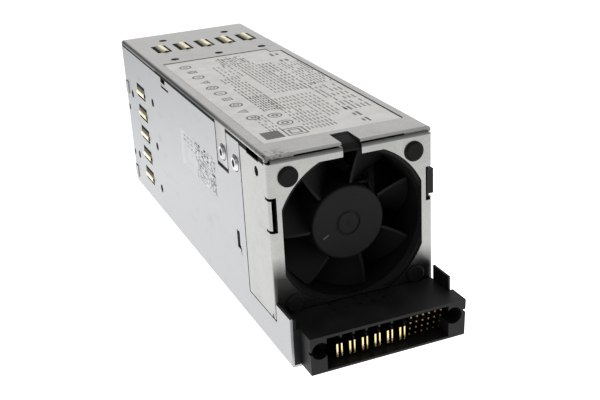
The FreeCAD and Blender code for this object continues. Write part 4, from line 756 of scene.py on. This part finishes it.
# %% One piece from many meshes
def piece_from(name, meshes, material, body):
    """One object at the origin made of several meshes, riding on a body."""
    joined = bmesh.new()
    for mesh in meshes:
        joined.from_mesh(mesh)
    mesh = bpy.data.meshes.new(name)
    joined.to_mesh(mesh)
    joined.free()
    for polygon in mesh.polygons:
        polygon.material_index = 0
    mesh.materials.append(material)
    piece = bpy.data.objects.new(name, mesh)
    bpy.context.scene.collection.objects.link(piece)
    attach(piece, body)
    print(name, "has", len(mesh.polygons), "faces")
    return piece


# %% [markdown]
# ## The rating label's layout
#
# The lines run along the case and the blocks stand side by side across it: a heading, ratings, a few
# paragraphs, a patch of small marks and a row of plain outlines down one edge. A layout is a matter
# of measures, not of rules, so it is a table.

# %% Blocks of print on the rating label
label_low, label_high = (Vector(corner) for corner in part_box("rating_label"))
QUARTER = math.radians(90)
along = Matrix.Rotation(QUARTER, 4, "Z")


def on_label(across, back):
    """A place on the label, in millimetres from its middle line and from its front edge."""
    middle = (label_low.x + label_high.x) / 2
    return Vector((middle + across * MM, label_low.y + back * MM, label_high.z + INK / 2))


blocks = [
    # across, back, length, height, words, lines, bar, fill
    (1.5, 116.0, 13.0, 12.0, 12, 10, 0.85, 0.6),
    (22.5, 109.5, 12.0, 2.6, 2, 2, 1.2, 1.0),
    (22.5, 80.0, 36.0, 9.0, 10, 7, 0.5, 0.9),
    (20.0, 42.0, 38.0, 10.0, 7, 6, 0.6, 0.75),
    (15.8, 14.0, 16.0, 1.8, 3, 2, 1.0, 1.0),
    (12.5, 80.0, 44.0, 5.5, 11, 4, 0.7, 0.95),
    (4.0, 82.0, 48.0, 8.5, 12, 6, 0.5, 0.97),
    (-6.5, 99.0, 18.0, 7.0, 5, 4, 0.5, 0.9),
    (-9.5, 72.0, 30.0, 8.0, 8, 6, 0.55, 0.95),
    (-9.5, 46.0, 18.0, 8.0, 7, 8, 0.6, 0.95),
    (-1.5, 28.0, 40.0, 11.0, 10, 8, 0.5, 0.93),
    (9.0, 34.0, 30.0, 5.5, 8, 4, 0.5, 0.9),
    (-18.5, 22.0, 18.0, 4.0, 6, 4, 0.45, 0.85),
]
marks = [
    printed_block(on_label(across, back), along, seed, **block_sizes(*sizes))
    for seed, (across, back, *sizes) in enumerate(blocks)
]
print("blocks on the label:", len(marks))

# %% Outlines on the rating label
OUTLINE_COLUMN, OUTLINE_START, OUTLINE_STEP = -20.7, 117.0, 9.6  # mm across, back, and between
outlines = []
for i in range(10):
    place = (OUTLINE_COLUMN + 0.3 * (i % 2), OUTLINE_START - OUTLINE_STEP * i)
    outlines.append((*place, 2.8, 0.75, (28, 4, 28, 3, 28)[i % 5]))
    outlines.append((*place, 1.3, 0.5, (4, 28, 3)[i % 3]))
outlines += [
    # across, back, radius, width, sides
    (-12.0, 29.0, 2.9, 0.6, 32),
    (-12.0, 29.0, 1.45, 0.8, 24),
    (-12.0, 18.5, 3.2, 0.6, 32),
    (-12.0, 18.5, 1.6, 0.8, 24),
    (-12.6, 7.4, 5.8, 0.9, 4),
    (-12.6, 7.4, 3.4, 1.0, 4),
]
for across, back, radius, width, sides in outlines:
    marks.append(ring_mesh(on_label(across, back), radius * MM, width * MM, sides))
patch = on_label(-21.7, 7.4)  # a filled block of ink near the front edge
half = Vector((7.4 * MM, 8.2 * MM, INK)) / 2
marks.append(slab_mesh(patch - half, patch + half))
label_print = piece_from("label_print", marks, ink, "chassis")

# %% [markdown]
# ## The side sticker
#
# A thin silvery film with a square of fine marks at its front end and a short heading behind it. The
# CAD has only a plain plate for it. The film is a slab of its own that takes the plate's place,
# because the marks need its whole length, and it stands only a hair off the wall.

# %% The film
FILM = 0.02 * MM  # how far a strip or a film stands off the sheet
FILM_FRONT, FILM_BACK = 59.8 * MM, 106.5 * MM
FILM_LOW, FILM_HIGH = 40.6 * MM, 57.4 * MM
wall_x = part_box("top_cover")[0][0]
film_mesh = slab_mesh((wall_x - FILM, FILM_FRONT, FILM_LOW), (wall_x, FILM_BACK, FILM_HIGH))
sticker = piece_from("side_sticker_film", [film_mesh], sticker_film, "chassis")
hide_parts("side_sticker")

# %% The film's marks
upright = along @ Matrix.Rotation(QUARTER, 4, "X")
FIRST_SEED = 31
sticker_blocks = [
    # back, up, length, height, words, lines, bar, fill
    (72.5, 49.0, 24.0, 15.0, 13, 13, 0.75, 0.62),
    (72.5, 49.4, 22.0, 14.0, 7, 9, 1.1, 0.3),
    (62.3, 49.0, 2.6, 15.0, 2, 9, 1.0, 0.8),
    (93.0, 53.5, 14.0, 4.0, 4, 3, 0.8, 0.9),
]
marks = []
for seed, (back, up, *sizes) in enumerate(sticker_blocks, start=FIRST_SEED):
    centre = Vector((wall_x - FILM - INK / 2, back * MM, up * MM))
    marks.append(printed_block(centre, upright, seed, **block_sizes(*sizes)))
sticker_print = piece_from("sticker_print", marks, faint_ink, "chassis")

# %% [markdown]
# ## Seams
#
# Folded sheets never close tightly, and each gap reads as a dark line of shade. Wider gaps in the
# solids would show bright inner walls instead. So thin flat strips on the sheet, a little wider than
# the gap, are painted shade and give the line its weight.

# %% Strips of painted shade along the seams of the left wall
wall_seams = [
    # back from, back to, up from, up to, in millimetres
    (27.3, 28.0, 12.4, 73.9),  # wall to fan bracket
    (0.0, 28.0, 12.4, 12.75),  # wall to the bracket's lower edge
    (54.7, 55.4, 57.0, 74.0),  # behind the cover's tab
    (42.2, 42.8, 57.0, 74.0),  # before the cover's tab
    (140.0, 201.0, 73.75, 74.6),  # under the skirt
    (54.9, 140.0, 73.7, 75.1),
    (27.0, 43.0, 73.6, 75.0),
    (3.0, 27.2, 73.0, 75.0),
    (8.0, 20.0, 72.4, 75.0),
]
speck = (2.6, 3.5, 13.3, 14.3)  # a dark spot of painted shade by the bracket's lower edge


def wall_strip(back_low, back_high, up_low, up_high):
    """A strip on the left wall, half of it sunk into the sheet."""
    return slab_mesh(
        (wall_x - FILM, back_low * MM, up_low * MM), (wall_x + FILM, back_high * MM, up_high * MM)
    )


seams = [wall_strip(*seam) for seam in wall_seams] + [wall_strip(*speck)]
print("strips on the wall:", len(seams))

# %% [markdown]
# ## The dark inside of the case
#
# Past a spring finger or through a small hole one looks into an unlit case. Light that enters through
# the rear vents would brighten it here, so a dark plate stands in each opening, just under the skin.

# %% Plates past the spring fingers
WINDOW_FRONT, WINDOW_BACK, WINDOW_PITCH = 164.4 * MM, 178.7 * MM, 10.95
WALL_WINDOW, COVER_WINDOW = 9.5, -23.8  # where the first window starts, in mm up and across
WALL_GAPS = ((4.9, 6.8), (0.0, 1.2))  # beside each finger, in mm from its window's start
COVER_GAPS = ((0.0, 2.1), (6.3, 7.2))
cover_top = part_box("top_cover")[1][2]
for i in range(5):
    for first, last in WALL_GAPS:
        start = WALL_WINDOW + WINDOW_PITCH * i
        seams.append(
            slab_mesh(
                (wall_x + 0.2 * MM, WINDOW_FRONT, (start + first) * MM),
                (wall_x + 0.4 * MM, WINDOW_BACK, (start + last) * MM),
            )
        )
    for first, last in COVER_GAPS:
        start = COVER_WINDOW + WINDOW_PITCH * i
        seams.append(
            slab_mesh(
                ((start + first) * MM, WINDOW_FRONT, cover_top - 0.4 * MM),
                ((start + last) * MM, WINDOW_BACK, cover_top - 0.2 * MM),
            )
        )
print("with the plates:", len(seams))

# %% Plates and rims of painted shade at the small holes
HOLE = 1.7  # mm, half the width of a plate, a little over the hole's radius
RIM, RIM_WIDTH, RIM_SIDES = 2.0 * MM, 0.5 * MM, 24  # painted shade round a hole
SKIN, DEEP = 0.15 * MM, 0.35 * MM  # a plate's faces under the sheet's skin
facing_out = Matrix.Rotation(QUARTER, 4, "Y")
wall_holes = ((150.4, 12.9), (150.4, 34.8), (150.4, 56.7), (189.7, 18.4), (189.7, 51.2))  # back, up
cover_holes = ((-20.2, 148.8), (1.7, 148.8), (23.6, 148.8), (-14.7, 188.1), (18.1, 188.1))
for back, up in wall_holes:
    low = (wall_x + SKIN, (back - HOLE) * MM, (up - HOLE) * MM)
    high = (wall_x + DEEP, (back + HOLE) * MM, (up + HOLE) * MM)
    rim = ring_mesh(Vector((0, 0, 0)), RIM, RIM_WIDTH, RIM_SIDES)
    rim.transform(Matrix.Translation((wall_x - INK / 2, back * MM, up * MM)) @ facing_out)
    seams += [slab_mesh(low, high), rim]
for across, back in cover_holes:
    low = ((across - HOLE) * MM, (back - HOLE) * MM, cover_top - DEEP)
    high = ((across + HOLE) * MM, (back + HOLE) * MM, cover_top - SKIN)
    centre = Vector((across * MM, back * MM, cover_top + INK / 2))
    seams += [slab_mesh(low, high), ring_mesh(centre, RIM, RIM_WIDTH, RIM_SIDES)]
seam_lines = piece_from("seam_lines", seams, painted_shade_black, "chassis")

# %% [markdown]
# ## The step round the label
#
# The lid is pressed down a little where the label lies, and the step's far and right edges catch a
# fine line of shadow. The step is in the solid, but too shallow to darken by itself, so two strips
# draw the line.

# %% Two strips on the label's step
EDGE = 0.45 * MM
FAR_SHORT, RIGHT_SHORT = 5.0 * MM, 5.9 * MM  # how far each strip stops before the corner
step_low, step_high = cover_top - FILM, cover_top + FILM
far_strip = slab_mesh(
    (label_low.x - EDGE, label_high.y, step_low),
    (label_high.x - FAR_SHORT, label_high.y + EDGE, step_high),
)
right_strip = slab_mesh(
    (label_high.x, label_low.y, step_low),
    (label_high.x + EDGE, label_high.y - RIGHT_SHORT, step_high),
)
step_strips = [far_strip, right_strip]
step_lines = piece_from("label_step_lines", step_strips, painted_shade_black, "chassis")

# %% [markdown]
# ## Screws in the wall
#
# A pan head throws a shadow ring on the sheet round it and has a star drive in its middle, dark with
# shade. A drive cut into the solid would be too small to read. Ring and drive are flat shapes of
# painted shade instead: the ring lies on the sheet and the drive, a filled ring of six sides, on the
# head's face.

# %% Painted shadow rings and shaded drives of the two screws
screw_shade_marks = []
for name in ("cover_screw_left", "bracket_screw_left"):
    low, high = (Vector(corner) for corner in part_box(name))
    centre = (low + high) / 2
    for radius, width, sides, face in (
        (1.5, 1.45, 6, low.x - FILM / 2),
        (3.45, 0.4, 32, wall_x - FILM / 2),
    ):
        mark = ring_mesh(Vector((0, 0, 0)), radius * MM, width * MM, sides)
        mark.transform(Matrix.Translation((face, centre.y, centre.z)) @ facing_out)
        screw_shade_marks.append(mark)
screw_painted_shade = piece_from("screw_painted_shade", screw_shade_marks, painted_shade_black, "chassis")

# %% [markdown]
# ## Ribs in the connector's mouth
#
# Thin ribs part the blades' chambers. Their front ends catch light, so they show as ticks along the
# mouth's upper edge. They repeat at the blades' pitch, five of them, each a small slab.

# %% Ribs between the blade pairs
RIB_HALF, RIB_LOW, RIB_HIGH = 0.12 * MM, 10.9 * MM, 12.38 * MM
RIB_FRONT, RIB_BACK = 0.15 * MM, 2.0 * MM  # behind the mouth's front edge
FIRST_PAIR, PAIR_PITCH = 2.6, 5.1  # mm, from the blades' left end to the first pair's far side
mouth_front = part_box("connector_housing")[0][1]
ribs = []
for i in range(5):
    x = blades_low[0] + (FIRST_PAIR + PAIR_PITCH * (i + 0.5)) * MM
    low = (x - RIB_HALF, mouth_front + RIB_FRONT, RIB_LOW)
    high = (x + RIB_HALF, mouth_front + RIB_BACK, RIB_HIGH)
    ribs.append(slab_mesh(low, high))
mouth_ribs = piece_from("mouth_ribs", ribs, rivet_black, "chassis")

# %% [markdown]
# ## A pale mark on the hub
#
# A short pale mark on the hub's face. A mask could draw it, but the finish would then need a
# pattern for one mark. A thin slab is simpler. It rides on the rotor, so it turns with the fan.

# %% The pale mark
MARK_HALF = Vector((1.3 * MM, 0.0, 0.3 * MM))
MARK_ACROSS, MARK_DOWN, MARK_TURN = -9.3 * MM, 4.0 * MM, math.radians(-32)
hub_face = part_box("fan_impeller")[0][1]
spot = (MARK_ACROSS, hub_face, axle.z - MARK_DOWN)
pale_mark_mesh = slab_mesh(-MARK_HALF - Vector((0.0, FILM, 0.0)), MARK_HALF)
pale_mark_mesh.transform(Matrix.Translation(spot) @ Matrix.Rotation(MARK_TURN, 4, "Y"))
hub_pale_mark = piece_from("hub_pale_mark", [pale_mark_mesh], pale_mark_plastic, "fan_rotor")

# %% [markdown]
# ## Camera
#
# A catalogue shows such a unit from the fan end, from above and a little to the left, with a long lens
# so that the sides hardly converge. The camera has a plain place and turn, with no tracking.

# %% The camera
scene = bpy.context.scene
camera_data = bpy.data.cameras.new("camera")
camera_data.sensor_width = 36.0
camera_data.lens = 62.2255
camera_data.clip_start = 0.01
camera = bpy.data.objects.new("camera", camera_data)
camera.location = (-0.147957, -0.314677, 0.198958)
camera.rotation_euler = Euler([math.radians(a) for a in (67.4854, 2.9623, -23.2139)])
scene.collection.objects.link(camera)
scene.camera = camera
print("lens:", camera_data.lens, "mm")

# %% [markdown]
# ## Surroundings
#
# Bare metal shows what it reflects, so the surroundings matter more than the lamps. In a studio such
# an object stands in a white tent, with a dark card on one side to keep its edges apart. A world does
# the same without any walls: bright round the horizon, dimmer overhead, dark on the left.

# %% A white world with a dark side
scene.view_settings.view_transform = "Standard"
world = bpy.data.worlds.new("studio")
world.use_nodes = True
sky = world.node_tree
direction = add_node(sky, "ShaderNodeTexCoord").outputs["Generated"]
parts = add_node(sky, "ShaderNodeSeparateXYZ", Vector=direction).outputs
ramp = add_node(sky, "ShaderNodeValToRGB", Fac=parts["Z"])
stops = ramp.color_ramp.elements
stops[0].position, stops[0].color = 0.05, (0.8, 0.8, 0.8, 1.0)
stops[1].position, stops[1].color = 1.0, (0.75, 0.75, 0.76, 1.0)
stops.new(0.2).color = (1.0, 1.0, 1.0, 1.0)
stops.new(0.34).color = (0.95, 0.95, 0.95, 1.0)
stops.new(0.5).color = (0.45, 0.45, 0.46, 1.0)
dark_side = add_node(
    sky, "ShaderNodeMapRange", Value=parts["X"], From_Min=-0.25, From_Max=0.12, To_Min=0.28
)
light = add_node(
    sky,
    "ShaderNodeMix",
    {"data_type": "RGBA"},
    Factor=dark_side,
    A=linear("#000000"),
    B=ramp.outputs["Color"],
)
feed(sky, sky.nodes["Background"], Color=light, Strength=1.15)
scene.world = world
print("stops in the sky:", len(stops))

# %% [markdown]
# ## Floor
#
# The floor is a light table: a pale sheet lit from below, so that no hard shadow falls. A plain white
# floor would go grey away from the lamps. A little glow of its own, stronger under the object,
# keeps it white all over.

# %% The light table
FLOOR_HALF, FLOOR_DROP = 3.0, 0.0002  # metres
UNDER_OBJECT = (-0.04, 0.05, 0.0)
light_table, tree, shader, place = new_material("light_table")
reach = add_node(tree, "ShaderNodeVectorMath", DISTANCE, _0=place, _1=UNDER_OBJECT)
glow = add_node(
    tree, "ShaderNodeMapRange", Value=reach, From_Min=0.14, From_Max=0.44, To_Min=1.45, To_Max=0.83
)
feed(tree, shader, Base_Color=linear("#B0B0B0"), Roughness=0.9, Emission_Strength=glow)
feed(tree, shader, Emission_Color=linear("#FFFFFF"))
corners = [(-1, -1), (1, -1), (1, 1), (-1, 1)]
floor_mesh = bpy.data.meshes.new("floor")
floor_mesh.from_pydata(
    [(x * FLOOR_HALF, y * FLOOR_HALF, -FLOOR_DROP) for x, y in corners], [], [(0, 1, 2, 3)]
)
floor_mesh.materials.append(light_table)
floor = bpy.data.objects.new("floor", floor_mesh)
scene.collection.objects.link(floor)
print("floor:", 2 * FLOOR_HALF, "m wide")

# %% [markdown]
# ## Lamps
#
# Two large round lamps, one over the left shoulder and one behind the object, give the edges and the
# plastic their soft highlights. They are wide and weak, because the world does most of the lighting.


# %% Two soft lamps
def soft_lamp(name, place, aim, size, power):
    lamp_data = bpy.data.lights.new(name, "AREA")
    lamp_data.shape = "DISK"
    lamp_data.size = size
    lamp_data.energy = power
    lamp = bpy.data.objects.new(name, lamp_data)
    lamp.location = place
    lamp.rotation_euler = (Vector(aim) - Vector(place)).to_track_quat("-Z", "Y").to_euler()
    scene.collection.objects.link(lamp)


soft_lamp("key", (-0.9, -0.5, 1.2), (0, 0.05, 0.03), 0.7, 2.0)
soft_lamp("top", (0.1, 0.5, 1.4), (0, 0.08, 0.03), 0.8, 1.5)
print("lamps:", len(bpy.data.lights))
